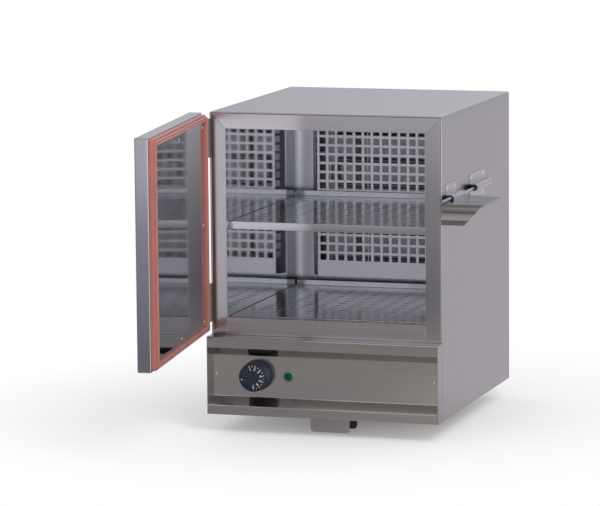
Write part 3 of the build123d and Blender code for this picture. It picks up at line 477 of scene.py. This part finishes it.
# ---------------------------------------------------------------------------
# Front frame: two upright members, a top rail mitred to them and a sill, in
# 1.5 mm stainless grained along each member's length.
# ---------------------------------------------------------------------------
upright_steel = stainless("upright_steel", (0.53, 0.515, 0.525), 0.17, "Z", "X", 0.5)
level_steel = stainless("level_steel", (0.53, 0.515, 0.53), 0.17, "X", "Z", 0.5)
rail_steel = stainless("rail_steel", (0.66, 0.645, 0.67), 0.20, "X", "Z", 0.5)
for title, paint in (("frame_left_post", upright_steel), ("frame_right_post", upright_steel),
                     ("frame_top_rail", rail_steel), ("frame_sill", level_steel)):
    dress(softened(title, 0.0005), "cabinet", "casing_steel", paint, title)

# ---------------------------------------------------------------------------
# Chamber liner: 1 mm stainless, mirror-bright and a little uneven, so that its
# walls double the guard and the shelves, and satin at the rear. The side walls
# carry a band of painted shade before their rear corners.
# ---------------------------------------------------------------------------
liner_bright = stainless("liner_bright", (0.64, 0.65, 0.68), 0.06, "Y", "Z", 0.15, 0.12)
liner_rear_satin = stainless("liner_rear_satin", (0.80, 0.805, 0.85), 0.30, "Z", "X", 0.4)
liner_side = stainless("liner_side", (0.72, 0.73, 0.76), 0.06, "Y", "Z", 0.15, 0.12)
tree = liner_side.node_tree
shader = next(n for n in tree.nodes if n.bl_idname == "ShaderNodeBsdfPrincipled")
unshaded_colour = shader.inputs["Base Color"].links[0].from_socket
depth = node_of(tree, "ShaderNodeSeparateXYZ",
                Vector=tree.nodes.new("ShaderNodeTexCoord").outputs["Object"]).outputs["Y"]
# The painted shade band's share of the unshaded colour, by depth: 0 is the cabinet's
# middle, 1 is 0.2 m behind it.
shade_darkest = (0.18, 0.185, 0.20)
painted_shade = ramp(tree, between(tree, depth, 0.0, 0.2), [
    (0.50, (1.0, 1.0, 1.0)), (0.56, shade_darkest), (0.77, shade_darkest), (0.91, (0.95, 0.96, 1.0))])
shaded_colour = node_of(tree, "ShaderNodeVectorMath")
shaded_colour.operation = "MULTIPLY"
tree.links.new(unshaded_colour, shaded_colour.inputs[0])
tree.links.new(painted_shade, shaded_colour.inputs[1])
tree.links.new(shaded_colour.outputs[0], shader.inputs["Base Color"])


def repaint(title, paint):
    """Put a material on a CAD node that is shown as it is."""
    node[title].data.materials.clear()
    node[title].data.materials.append(paint)


for title in ("liner_left_wall", "liner_right_wall"):
    repaint(title, liner_side)
for title in ("liner_roof", "liner_floor"):
    repaint(title, liner_bright)
repaint("liner_rear_wall", liner_rear_satin)

# ---------------------------------------------------------------------------
# Rear guard: a shallow tray of lighter, matt punched sheet, its sides splayed
# back to small feet on the rear wall, in two panels that meet across a column
# of holes, on four small screws.
# ---------------------------------------------------------------------------
guard_sheet = stainless("guard_sheet", (0.82, 0.825, 0.86), 0.36, "X", "Z", 0.3)
for title in ("rear_guard_left", "rear_guard_right"):
    dress(softened(title, 0.00025, 1), "cabinet", "liner_steel", guard_sheet, title)
low, high = np.array(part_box("guard_screws"))
small_head = [(radius * 0.85, height) for radius, height in head]
small_radius = 0.0022
guard_places = [(x, high[1], z) for x in (low[0] + small_radius, high[0] - small_radius)
                for z in (low[2] + small_radius, high[2] - small_radius)]
dress(skin("guard_screw_heads",
           lathe([small_head] * 4, guard_places, (0, -1, 0), (1, 0, 0), 20)),
      "cabinet", "fastener_steel", screw_steel, "guard_screws")

# ---------------------------------------------------------------------------
# Heater: a folded box behind the guard holds a bent rod element, dulled grey
# by its heat, on two pale insulating strips, with the thermostat's
# copper bulb along its floor.
# ---------------------------------------------------------------------------
def moulded(name, tone, roughness, grain, relief, sheen=0.0, mottle=0.12, **extra):
    """Moulded, painted or fired surface: cloudy colour and roughness, and a fine grain
    in the bump from noise of the given scale and relief."""
    paint = bpy.data.materials.new(name)
    tree = blank_tree(paint)
    place = tree.nodes.new("ShaderNodeTexCoord").outputs["Object"]
    cloud = node_of(tree, "ShaderNodeTexNoise", Vector=place, Scale=35.0, Detail=5.0)
    fine = node_of(tree, "ShaderNodeTexNoise", Vector=place, Scale=grain, Detail=3.0)
    colour = ramp(tree, cloud.outputs["Fac"], [
        (0.3, tuple(c * (1 - mottle) for c in tone)), (0.7, tuple(c * (1 + mottle) for c in tone))])
    rough = sums(tree, "MULTIPLY_ADD", cloud.outputs["Fac"], 0.16, roughness - 0.08)
    bump = node_of(tree, "ShaderNodeBump", Height=fine.outputs["Fac"], Strength=1.0,
                   Distance=relief)
    shader = node_of(tree, "ShaderNodeBsdfPrincipled", Base_Color=colour, Roughness=rough,
                     Normal=bump.outputs[0])
    shader.inputs["Sheen Weight"].default_value = sheen
    for key, value in extra.items():
        shader.inputs[key.replace("_", " ")].default_value = value
    to_output(tree, shader)
    return paint


box_sheet = stainless("box_sheet", (0.66, 0.66, 0.69), 0.40, "X", "Z", 0.4, 0.1)
repaint("heater_box", box_sheet)
repaint("heating_element", moulded("element_sheath", (0.40, 0.385, 0.38), 0.4, 900.0, 0.00004,
                                   mottle=0.2, Metallic=1.0))
repaint("element_supports", moulded("mica_board", (0.60, 0.55, 0.47), 0.7, 400.0, 0.0001))
repaint("thermostat_bulb", moulded("bulb_copper", (0.70, 0.38, 0.25), 0.3, 700.0, 0.00002,
                                   mottle=0.2, Metallic=1.0))

# ---------------------------------------------------------------------------
# Insulation: mineral wool packed between liner and casing and in the door.
# ---------------------------------------------------------------------------
wool = moulded("mineral_wool", (0.56, 0.50, 0.30), 0.95, 260.0, 0.0012, sheen=0.3, mottle=0.25)
repaint("wall_insulation", wool)
repaint("door_insulation", wool)

# ---------------------------------------------------------------------------
# Runners and shelves: bright folded angles on the walls, and two slotted
# sheet shelves with a front lip turned down and a rear edge turned up.
# ---------------------------------------------------------------------------
for hand in ("left", "right"):
    for tier in ("upper", "lower"):
        repaint(f"{tier}_runner_{hand}", liner_bright)
shelf_bright = stainless("shelf_bright", (0.60, 0.605, 0.635), 0.16, "X", "Z", 0.3, 0.03)
for tier in ("upper_shelf", "lower_shelf"):
    dress(softened(tier, 0.0006, gather=False), tier, "shelf_steel", shelf_bright, tier)

# ---------------------------------------------------------------------------
# Control housing: one sheet folded to a shallow C below the door, with a lip
# above and below, sloping bands, and a flat panel between them; an end plate
# and a screw close each side.
# ---------------------------------------------------------------------------
def thick(line, sheet):
    """Closed 2-D section of a bent sheet: the line, and back along it one sheet inside."""
    return np.concatenate([line, (line + sideways_of(line) * sheet)[::-1]])


def carried(section, stations, order):
    """A closed 2-D section carried along the third axis to each station.

    order names the axes of the section's two columns and of the carrying direction."""
    grid = np.zeros((len(stations), len(section), 3))
    a, b, c = ("XYZ".index(letter) for letter in order)
    grid[..., a], grid[..., b] = section[None, :, 0], section[None, :, 1]
    grid[..., c] = np.asarray(stations)[:, None]
    return grid


low, high = np.array(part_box("control_housing"))
panel_set_back, housing_sheet, housing_bend = 0.0165, 0.0012, 0.0022
lip_face, panel_face = low[1], low[1] + panel_set_back
upper_lip, panel_top, panel_foot, lower_lip = 0.113, 0.0995, 0.0295, 0.016
housing_line = rounded([
    (high[1], high[2]), (lip_face, high[2]), (lip_face, upper_lip), (panel_face, panel_top),
    (panel_face, panel_foot), (lip_face, lower_lip), (lip_face, low[2]), (high[1], low[2])],
    [housing_bend] * 6)
housing_steel = stainless("housing_steel", (0.50, 0.477, 0.468), 0.16, "X", "Z", 0.45)
span = np.linspace(low[0], high[0], 41)
housing = carried(thick(housing_line, -housing_sheet), span, "YZX")
# The panel waves by 0.2 mm across its width.
wave_depth = 0.0002
housing[..., 1] += wave_depth * np.sin(14.0 * span + 0.6)[:, None] * (
    np.sin(math.pi * np.clip((housing[..., 2] - 0.03) / 0.07, 0, 1)))
dress(evened(skin("housing_fold", [housing])), "cabinet", "casing_steel", housing_steel,
      "control_housing")
end_steel = stainless("end_steel", (0.50, 0.485, 0.485), 0.2, "Z", "Y", 0.45)
for title in ("housing_end_left", "housing_end_right"):
    dress(softened(title, 0.0004), "cabinet", "casing_steel", end_steel, title)
low, high = np.array(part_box("housing_screws"))
housing_places = [(x, high[1], (low[2] + high[2]) / 2)
                  for x in (low[0] + head_radius, high[0] - head_radius)]
dress(skin("housing_screw_heads", lathe([head] * 2, housing_places, (0, -1, 0), (1, 0, 0), 24)),
      "cabinet", "fastener_steel", screw_steel, "housing_screws")

# ---------------------------------------------------------------------------
# Thermostat: a dark body behind the panel, a steel spindle, and a moulded
# knob with a fluted side and a flat slate-coloured face, printed with seven
# numbers, a stroke outside each, shorter ones between, and an off dot.
# ---------------------------------------------------------------------------
repaint("thermostat_body", moulded("thermostat_casing", (0.05, 0.05, 0.05), 0.5, 500.0, 0.00005))
repaint("thermostat_spindle", screw_steel)
low, high = np.array(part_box("thermostat_knob"))
hub = np.array([(low[0] + high[0]) / 2, high[1], (low[2] + high[2]) / 2])
knob_depth = high[1] - low[1]
side_line = [(0.0031, 0.0), (0.0250, 0.0), (0.0259, 0.0006), (0.0259, 0.0030), (0.0249, 0.0038),
             (0.0247, 0.0120), (0.0245, knob_depth - 0.0030), (0.0240, knob_depth - 0.0012),
             (0.0232, knob_depth - 0.0003), (0.0224, knob_depth), (0.0218, knob_depth - 0.0002),
             (0.0215, knob_depth - 0.0007), (0.0211, knob_depth - 0.0008),
             (0.0206, knob_depth - 0.0005), (0.0120, knob_depth - 0.0005),
             (0.0020, knob_depth - 0.0005), (0.0002, knob_depth - 0.0005)]


def fluting(t, row):
    """Radius factor 1 - 0.018 * |sin(20 t)| on the rows of the grip, 1 elsewhere."""
    return 1 - 0.018 * np.abs(np.sin(20 * t)) * ((row >= 4) & (row <= 6))


knob_plastic = moulded("knob_plastic", (0.013, 0.020, 0.036), 0.38, 1500.0, 0.00002, mottle=0.08)
knob = skin("knob_moulding", lathe([side_line], [hub], (0, -1, 0), (1, 0, 0), 240, fluting))
dress(knob, "knob", "knob_plastic", knob_plastic, "thermostat_knob")

face_level = hub[1] - knob_depth + 0.00046
print_thick = 0.00004


def stroke(angle, near, far, width):
    """Flat printed bar on the knob's face, along the radius at an angle."""
    out = np.array([math.cos(angle), math.sin(angle)])
    square = np.array([-out[1], out[0]]) * width / 2
    ends = [near * out - square, far * out - square, far * out + square, near * out + square]
    return (np.array([(hub[0] + x, face_level - print_thick, hub[2] + z) for x, z in ends]),
            [[0, 1, 2, 3]])


first_number, number_step, off_mark = 107.6, 32.3, math.radians(192.5)
number_ring, off_ring = 0.0139, 0.0192
strokes = []
for k in range(7):
    angle = math.radians(first_number - number_step * k)
    letters = bpy.data.curves.new("number", "FONT")
    letters.body = str(k + 1)
    letters.size = 0.0062
    letters.align_x, letters.align_y = "CENTER", "CENTER"
    letters.offset = 0.00016
    letters.extrude = print_thick
    stand = bpy.data.objects.new("number", letters)
    flat = bpy.data.meshes.new_from_object(stand)
    points = np.zeros(len(flat.vertices) * 3)
    flat.vertices.foreach_get("co", points)
    points = points.reshape(-1, 3)
    spin = angle - math.pi / 2
    x = (points[:, 0] * math.cos(spin) - points[:, 1] * math.sin(spin)
         + number_ring * math.cos(angle))
    z = (points[:, 0] * math.sin(spin) + points[:, 1] * math.cos(spin)
         + number_ring * math.sin(angle))
    strokes.append((np.column_stack([hub[0] + x, face_level - points[:, 2], hub[2] + z]),
                    [list(p.vertices) for p in flat.polygons]))
    bpy.data.objects.remove(stand)
    bpy.data.curves.remove(letters)
    bpy.data.meshes.remove(flat)
    strokes.append(stroke(angle, 0.0168, 0.0205, 0.0010))
    if k < 6:
        strokes.append(stroke(angle - math.radians(number_step / 2), 0.0176, 0.0203, 0.0007))
angle = np.linspace(0, 2 * math.pi, 20, endpoint=False)
off_x, off_z, dot = off_ring * math.cos(off_mark), off_ring * math.sin(off_mark), 0.0011
strokes.append((np.column_stack([
    hub[0] + off_x + dot * np.cos(angle), np.full(20, face_level - print_thick),
    hub[2] + off_z + dot * np.sin(angle)]), [list(range(20))]))
points, faces, start = [], [], 0
for placed, polygons in strokes:
    points.append(placed)
    faces += [[v + start for v in polygon] for polygon in polygons]
    start += len(placed)
mesh = bpy.data.meshes.new("knob_print")
mesh.from_pydata(np.concatenate(points).tolist(), [], faces)
dress(shown("knob_print", mesh), "knob", "knob_plastic",
      moulded("print_white", (0.72, 0.74, 0.76), 0.5, 900.0, 0.00001, mottle=0.05))

# ---------------------------------------------------------------------------
# Pilot lamp: a pale translucent bezel round a domed green lens, pressed into
# the panel, with a plastic body behind.
# ---------------------------------------------------------------------------
repaint("pilot_lamp_body", moulded("lamp_body", (0.30, 0.31, 0.30), 0.5, 500.0, 0.00005))
low, high = np.array(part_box("pilot_lamp_bezel"))
lamp_place = ((low[0] + high[0]) / 2, high[1], (low[2] + high[2]) / 2)
bezel_line = [(0.0068, 0.0), (0.0094, 0.0), (0.0094, 0.0008), (0.0089, 0.0017), (0.0080, 0.0024),
              (0.0072, 0.0025), (0.0068, 0.0021)]
dress(skin("lamp_bezel_ring", lathe([bezel_line], [lamp_place], (0, -1, 0), (1, 0, 0), 48),
           closed=(True, True)), "cabinet", "bezel_plastic",
      moulded("bezel_pale", (0.10, 0.27, 0.19), 0.25, 800.0, 0.00001, Coat_Weight=0.5),
      "pilot_lamp_bezel")
lens_line = [(0.0068, 0.0)] + [(0.0067 * math.cos(a), 0.0022 + 0.0018 * math.sin(a))
                               for a in np.linspace(0, 0.47 * math.pi, 9)]
dress(skin("lamp_lens_dome", lathe([lens_line], [lamp_place], (0, -1, 0), (1, 0, 0), 48)),
      "cabinet", "green_lens",
      moulded("lens_green", (0.001, 0.085, 0.052), 0.28, 300.0, 0.0002, mottle=0.3,
              Specular_IOR_Level=0.25),
      "pilot_lamp_lens")

# ---------------------------------------------------------------------------
# Door: a 22 mm folded pan with its rim turned in, a polished inner panel that
# stands proud and is riveted round its edge, and a terracotta silicone seal
# in a double ridge between them.
# ---------------------------------------------------------------------------
opened = math.radians(83.2)
hinge = np.array([-0.2025, -0.224, 0.0])
along_dir = np.array([math.cos(opened), -math.sin(opened), 0.0])
inward_dir = np.array([math.sin(opened), math.cos(opened), 0.0])
door_low, door_high = 0.1328, 0.504
door_start, door_wide = 0.0035, 0.398
outer_face, rim = -0.0303, -0.0083


def door_rings(rings, bow=None):
    """Rounded rectangles on the door, one row of points for each ring.

    A ring is (inset from the door's edge, inward level, corner radius), drawn as four
    quarter circles with 11 points between each and the next. bow, if given, adds a level
    to each point from its place across and up the door, each -1 to 1."""
    rows = []
    half_wide, half_tall = door_wide / 2, (door_high - door_low) / 2
    quarter = np.linspace(0, math.pi / 2, 6)
    side = np.linspace(-1, 1, 13)[1:-1]
    for inset, level, radius in rings:
        half_a, half_z = half_wide - inset, half_tall - inset
        radius = min(radius, half_a * 0.9, half_z * 0.9)
        pts = []
        for k in range(4):
            ca = (half_a - radius) * (1, -1, -1, 1)[k]
            cz = (half_z - radius) * (1, 1, -1, -1)[k]
            turned = quarter + k * math.pi / 2
            pts.append(np.column_stack([ca + radius * np.cos(turned),
                                        cz + radius * np.sin(turned)]))
            if k % 2 == 0:
                sign = 1 if k == 0 else -1
                pts.append(np.column_stack([-sign * side * (half_a - radius),
                                            np.full(11, sign * half_z)]))
            else:
                sign = 1 if k == 3 else -1
                pts.append(np.column_stack([np.full(11, sign * half_a),
                                            sign * side * (half_z - radius)]))
        loop = np.concatenate(pts)
        lift = np.full(len(loop), level)
        if bow is not None:
            lift = lift + bow(loop[:, 0] / half_wide, loop[:, 1] / half_tall)
        flat = (hinge + (door_start + half_wide + loop[:, :1]) * along_dir
                + lift[:, None] * inward_dir)
        flat[:, 2] = (door_low + door_high) / 2 + loop[:, 1]
        rows.append(flat)
    return np.array(rows)


def eased(first, last, radius, level, sign, steps=5):
    """Quarter round between a face and a side, as (inset, level, corner radius) rings."""
    return [(radius * (1 - math.sin(v)), level + sign * radius * (1 - math.cos(v)), 0.002)
            for v in np.linspace(first, last, steps)]


edge_steel = stainless("door_edge_steel", (0.54, 0.54, 0.575), 0.15, "Z", "X", 0.35)
pan = door_rings(
    [(0.150, outer_face + 0.0006, 0.002), (0.090, outer_face + 0.0005, 0.002),
     (0.040, outer_face + 0.0002, 0.002), (0.010, outer_face, 0.002)]
    + eased(0.0, math.pi / 2, 0.002, outer_face, 1)
    + [(0.0, outer_face + 0.006, 0.002), (0.0, rim - 0.006, 0.002)]
    + eased(math.pi / 2, 0.0, 0.0014, rim, -1)
    + [(0.0156, rim, 0.002), (0.016, rim - 0.0004, 0.002), (0.016, rim - 0.0012, 0.002),
       (0.0012, rim - 0.0012, 0.001), (0.0012, outer_face + 0.0012, 0.001),
       (0.100, outer_face + 0.0018, 0.001)])
dress(evened(skin("door_pan_fold", [pan])), "door", "casing_steel", edge_steel, "door_pan")

seal_line = [(3.0, 0.0), (2.9, 2.0), (3.0, 6.2), (3.4, 7.1), (4.1, 7.5), (4.8, 7.2), (5.2, 6.4),
             (5.5, 6.0), (5.8, 6.6), (5.7, 9.4), (6.1, 10.9), (7.0, 11.7), (8.0, 11.6), (8.7, 10.7),
             (9.3, 10.3), (10.0, 10.7), (10.8, 11.6), (12.0, 12.0), (13.1, 11.6), (13.8, 10.6),
             (14.0, 9.0), (14.0, 0.0)]
seal = door_rings([(a / 1000, rim + b / 1000, 0.004) for a, b in seal_line])
seal_red = moulded("seal_silicone", (0.42, 0.150, 0.128), 0.42, 500.0, 0.00004, sheen=0.15,
                   mottle=0.10)
dress(skin("door_seal", [seal], closed=(True, True)), "door", "seal_rubber", seal_red,
      "door_gasket")


def crowned(a, z):
    """Level of the pressed panel against flat: 0.9 mm lower at its middle, falling off as
    1 - 1.08 * the square of each place, to nothing just inside its edges."""
    return -0.0009 * np.clip(1 - 1.08 * a**2, 0, 1) * np.clip(1 - 1.08 * z**2, 0, 1)


inner_mirror = stainless("inner_mirror", (0.58, 0.58, 0.605), 0.06, "Z", "X", 0.15, 0.10)
inner_edge, inner_level, inner_round = 0.0144, rim + 0.006, 0.0015
steps = [(inner_edge + inner_round * (1 - math.sin(v)),
          inner_level - inner_round * (1 - math.cos(v)), 0.003)
         for v in np.linspace(math.pi / 2, 0, 5)]
shrink = [(inner_edge + inner_round + d, inner_level, 0.003) for d in
          (0.004, 0.010, 0.018, 0.030, 0.045, 0.062, 0.080, 0.100, 0.120, 0.140, 0.155, 0.165)]
inner = door_rings([(inner_edge, rim, 0.003)] + steps + shrink, crowned)
inner[0] = door_rings([(inner_edge, rim, 0.003)])[0]
dress(skin("door_inner_pressing", [inner]), "door", "liner_steel", inner_mirror,
      "door_inner_panel")

# Rivets: three down each side and one at the middle of the top and of the foot.
rivet_line = [(0.0024, -0.0004), (0.0024, 0.0002), (0.0020, 0.0007), (0.0012, 0.0010),
              (0.0003, 0.0011)]
rivet_inset = 0.0234
near, far = rivet_inset + door_start, door_start + door_wide - rivet_inset
rivet_heights = (door_low + rivet_inset, (door_low + door_high) / 2, door_high - rivet_inset)
rivet_spots = [(a, z) for a in (near, (near + far) / 2, far) for z in rivet_heights]
del rivet_spots[4]
rivet_places = [hinge + a * along_dir + inner_level * inward_dir + np.array([0, 0, z])
                for a, z in rivet_spots]
dress(skin("rivet_heads", lathe([rivet_line] * 8, rivet_places, inward_dir, (0, 0, 1), 20)),
      "door", "fastener_steel", screw_steel, "door_rivets")
repaint("door_edge_plugs", edge_steel)

# ---------------------------------------------------------------------------
# Hinges: stamped leaves rolled round a pin, one leaf lapped over the casing's
# front corner and one on the door's edge.
# ---------------------------------------------------------------------------
# Painted shade and painted reflection: the leaves' dark olive tone stands for the shade and
# reflections in the hinge's corner.
hinge_steel = stainless("hinge_steel", (0.36, 0.345, 0.30), 0.28, "Z", "X", 0.5)
for tier in ("upper", "lower"):
    dress(softened(f"{tier}_hinge_frame_leaf", 0.0002), "cabinet", "hinge_steel", hinge_steel,
          f"{tier}_hinge_frame_leaf")
    dress(softened(f"{tier}_hinge_door_leaf", 0.0002), "door", "hinge_steel", hinge_steel,
          f"{tier}_hinge_door_leaf")
    repaint(f"{tier}_hinge_pin", screw_steel)

# ---------------------------------------------------------------------------
# Latch clips: two stainless saddles spot-welded to the casing's side, each a
# half tube between an upper and a lower flange, with a black bush pushed into
# each of its ends.
# ---------------------------------------------------------------------------
clip_steel = stainless("clip_steel", (0.62, 0.605, 0.625), 0.30, "Y", "XZ", 0.4)
axis_x, axis_z, bush, rod_hole = 0.209, 0.3685, 0.0050, 0.00205
flange_face, saddle_radius, flange_bend = 0.2012, bush + 0.0012, 0.0016
clips = ("latch_clip_front", "latch_clip_rear")
for title in clips:
    low, high = np.array(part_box(title))
    top, foot = axis_z + saddle_radius, axis_z - saddle_radius
    outer = rounded([(flange_face, high[2]), (flange_face, top), (axis_x, top)],
                    [flange_bend], 4)
    half = np.linspace(math.pi / 2, -math.pi / 2, 21)
    saddle = np.column_stack([axis_x + saddle_radius * np.cos(half),
                              axis_z + saddle_radius * np.sin(half)])
    lower = rounded([(axis_x, foot), (flange_face, foot), (flange_face, low[2])],
                    [flange_bend], 4)
    line = np.concatenate([outer[:-1], saddle, lower[1:]])
    ends_y = [low[1], low[1] + 0.0003, high[1] - 0.0003, high[1]]
    clip = carried(thick(line, 0.00118), ends_y, "XZY")
    dress(evened(skin(title + "_saddle", [clip])), "cabinet", "latch_steel", clip_steel, title)
weld_line = [(0.0029, 0.0), (0.0025, 0.0004), (0.0017, 0.0007), (0.0009, 0.0008), (0.0003, 0.0008)]
weld_inset, weld_foot = 0.008, 0.004
weld_places = []
for title in clips:
    low, high = np.array(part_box(title))
    weld_places += [(flange_face, y, z) for y in (low[1] + weld_inset, high[1] - weld_inset)
                    for z in (high[2] - weld_inset, low[2] + weld_foot)]
# Painted highlight: the weld spots are made pale and partly matt to stand for the glints of light
# on them.
dress(skin("spot_welds", lathe([weld_line] * 8, weld_places, (1, 0, 0), (0, 1, 0), 20)),
      "cabinet", "latch_steel", moulded("weld_pips_painted_glint", (0.84, 0.83, 0.85), 0.45, 900.0, 0.00003,
                                        mottle=0.05, Metallic=0.3))
bush_long, bush_out = 0.0140, 0.0008
bush_line = [(rod_hole, 0.0), (0.0043, 0.0), (0.00495, 0.0006), (0.00495, bush_long - 0.0006),
             (0.0043, bush_long), (rod_hole, bush_long)]
bush_places = []
for title in clips:
    low, high = np.array(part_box(title))
    bush_places += [(axis_x, low[1] - bush_out, axis_z),
                    (axis_x, high[1] + bush_out - bush_long, axis_z)]
dress(skin("latch_bush_mouldings", lathe([bush_line] * 4, bush_places, (0, 1, 0), (1, 0, 0), 28),
           closed=(True, True)), "cabinet", "bush_plastic",
      moulded("bush_black", (0.012, 0.012, 0.013), 0.5, 800.0, 0.00005), "latch_bushes")

# ---------------------------------------------------------------------------
# Latch: a thin bright spindle turns in the bushes and carries a flat tray,
# rolled round it at two places and wavy along its rear edge, with a dished
# catch plate across the tray's front.
# ---------------------------------------------------------------------------
low, high = np.array(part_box("latch_spindle"))
spindle_long = high[1] - low[1]
spindle_line = [(0.0013, 0.0), (0.0019, 0.0006), (0.0020, 0.0015), (0.0020, spindle_long - 0.0015),
                (0.0019, spindle_long - 0.0006), (0.0013, spindle_long)]
dress(skin("latch_spindle_rod", lathe([spindle_line], [(axis_x, low[1], axis_z)], (0, 1, 0),
                                      (1, 0, 0), 24)),
      "latch", "spindle_steel", stainless("spindle_steel", (0.62, 0.60, 0.62), 0.2, "Y", "XZ", 0.3),
      "latch_spindle")

latch_steel = stainless("latch_steel", (0.46, 0.448, 0.45), 0.20, "Y", "XZ", 0.4)
low, high = np.array(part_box("latch_tray"))
edge_x, edge_deep, tray_sheet = high[0], 0.005, 0.0015
roll_end, plate_start = 0.2162, 0.2160
plate_top, plate_low = axis_z - rod_hole, axis_z - rod_hole - tray_sheet
turns = np.radians(np.linspace(-90, -345, 34))
rolled = np.concatenate([
    [(roll_end, plate_low), (roll_end, plate_top)],
    np.column_stack([axis_x + rod_hole * np.cos(turns), axis_z + rod_hole * np.sin(turns)]),
    np.column_stack([axis_x + (rod_hole + tray_sheet) * np.cos(turns),
                     axis_z + (rod_hole + tray_sheet) * np.sin(turns)])[::-1],
])
front_roll_end, rear_roll_start = -0.202, -0.134
front_roll = carried(rolled, np.linspace(low[1], front_roll_end, 4), "XZY")
rear_roll = carried(rolled, np.linspace(rear_roll_start, high[1], 4), "XZY")
# The rear edge's depth, in millimetres, at distances across the tray from the middle
# of the cabinet, smoothed over seven stations.
stations = np.linspace(plate_start, edge_x, 64)
rear_edge = np.interp(stations * 1000, [216, 221, 225, 229, 236, 243, 250, 262, 278.5],
                      [-116, -118, -136, -133, -126, -129, -138, -141, -142]) / 1000
rear_edge = np.convolve(np.pad(rear_edge, 3, mode="edge"), np.full(7, 1 / 7), mode="valid")
past = np.maximum(stations - (edge_x - tray_sheet), 0) / tray_sheet
round_down = tray_sheet * (1 - np.sqrt(np.clip(1 - past**2, 0, 1)))
plate = np.zeros((64, 4, 3))
plate[..., 0] = stations[:, None]
plate[..., 1] = np.stack([np.full(64, low[1]), rear_edge, rear_edge, np.full(64, low[1])], axis=-1)
plate[:, :2, 2] = (plate_top - round_down)[:, None]
plate[:, 2:, 2] = np.where(stations > edge_x - 0.0016, plate_top - edge_deep,
                           plate_low)[:, None]
dress(evened(skin("latch_tray_fold", [front_roll, rear_roll, plate])), "latch", "latch_steel",
      latch_steel, "latch_tray")

low, high = np.array(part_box("latch_catch_plate"))
# Down from the plate's top edge, in millimetres, come a groove and a toe turned in, and
# the side edge slants inwards all the way.
groove_start, groove_tall, toe_start = 4, 21, 26.5
groove_deep, catch_sheet, slant_in = 0.0024, 0.0015, 0.031
heights = np.linspace(high[2], low[2], 40)
drop = (high[2] - heights) * 1000
share = np.clip((drop - groove_start) / groove_tall, 0, 1)
groove = np.where((share > 0) & (share < 1),
                  groove_deep * np.sin(math.pi * share) ** 0.8, 0)
toe = np.where(drop > toe_start, (drop - toe_start) * 0.00012, 0)
face = low[1] + groove + toe
back = np.minimum(face + catch_sheet, high[1])
section = np.concatenate([np.column_stack([face, heights]),
                          np.column_stack([back, heights])[::-1]])
slant = high[0] - slant_in * (high[2] - section[:, 1]) / (high[2] - low[2])
catch = np.zeros((9, len(section), 3))
across_share = np.linspace(0, 1, 9)[:, None]
catch[..., 0] = low[0] + (slant - low[0])[None, :] * across_share
catch[..., 1], catch[..., 2] = section[None, :, 0], section[None, :, 1]
catch_steel = stainless("catch_steel", (0.34, 0.325, 0.32), 0.12, "X", "Z", 0.35)
dress(evened(skin("latch_catch_pressing", [catch])), "latch", "latch_steel", catch_steel,
      "latch_catch_plate")

# ---------------------------------------------------------------------------
# Locating bracket: a strip folded to a U under the base's front strip, with
# its toes turned in and their corners rounded.
# ---------------------------------------------------------------------------
# Painted shade: the bracket's tone is darker than the casing's for the shade under the base.
bracket_shaded_steel = stainless("bracket_shaded_steel", (0.44, 0.42, 0.43), 0.22, "X", "Z", 0.5)
dress(softened("locating_bracket", 0.0004), "cabinet", "casing_steel", bracket_shaded_steel,
      "locating_bracket")

# ---------------------------------------------------------------------------
# Supply entry: a black plastic gland through the rear panel and a terminal
# block on the base in front of it.
# ---------------------------------------------------------------------------
gland_black = moulded("gland_black", (0.02, 0.02, 0.02), 0.45, 600.0, 0.00006)
dress(softened("cable_gland", 0.0005), "cabinet", "gland_plastic", gland_black, "cable_gland")
repaint("terminal_block", moulded("terminal_cream", (0.55, 0.52, 0.44), 0.55, 500.0, 0.00006))
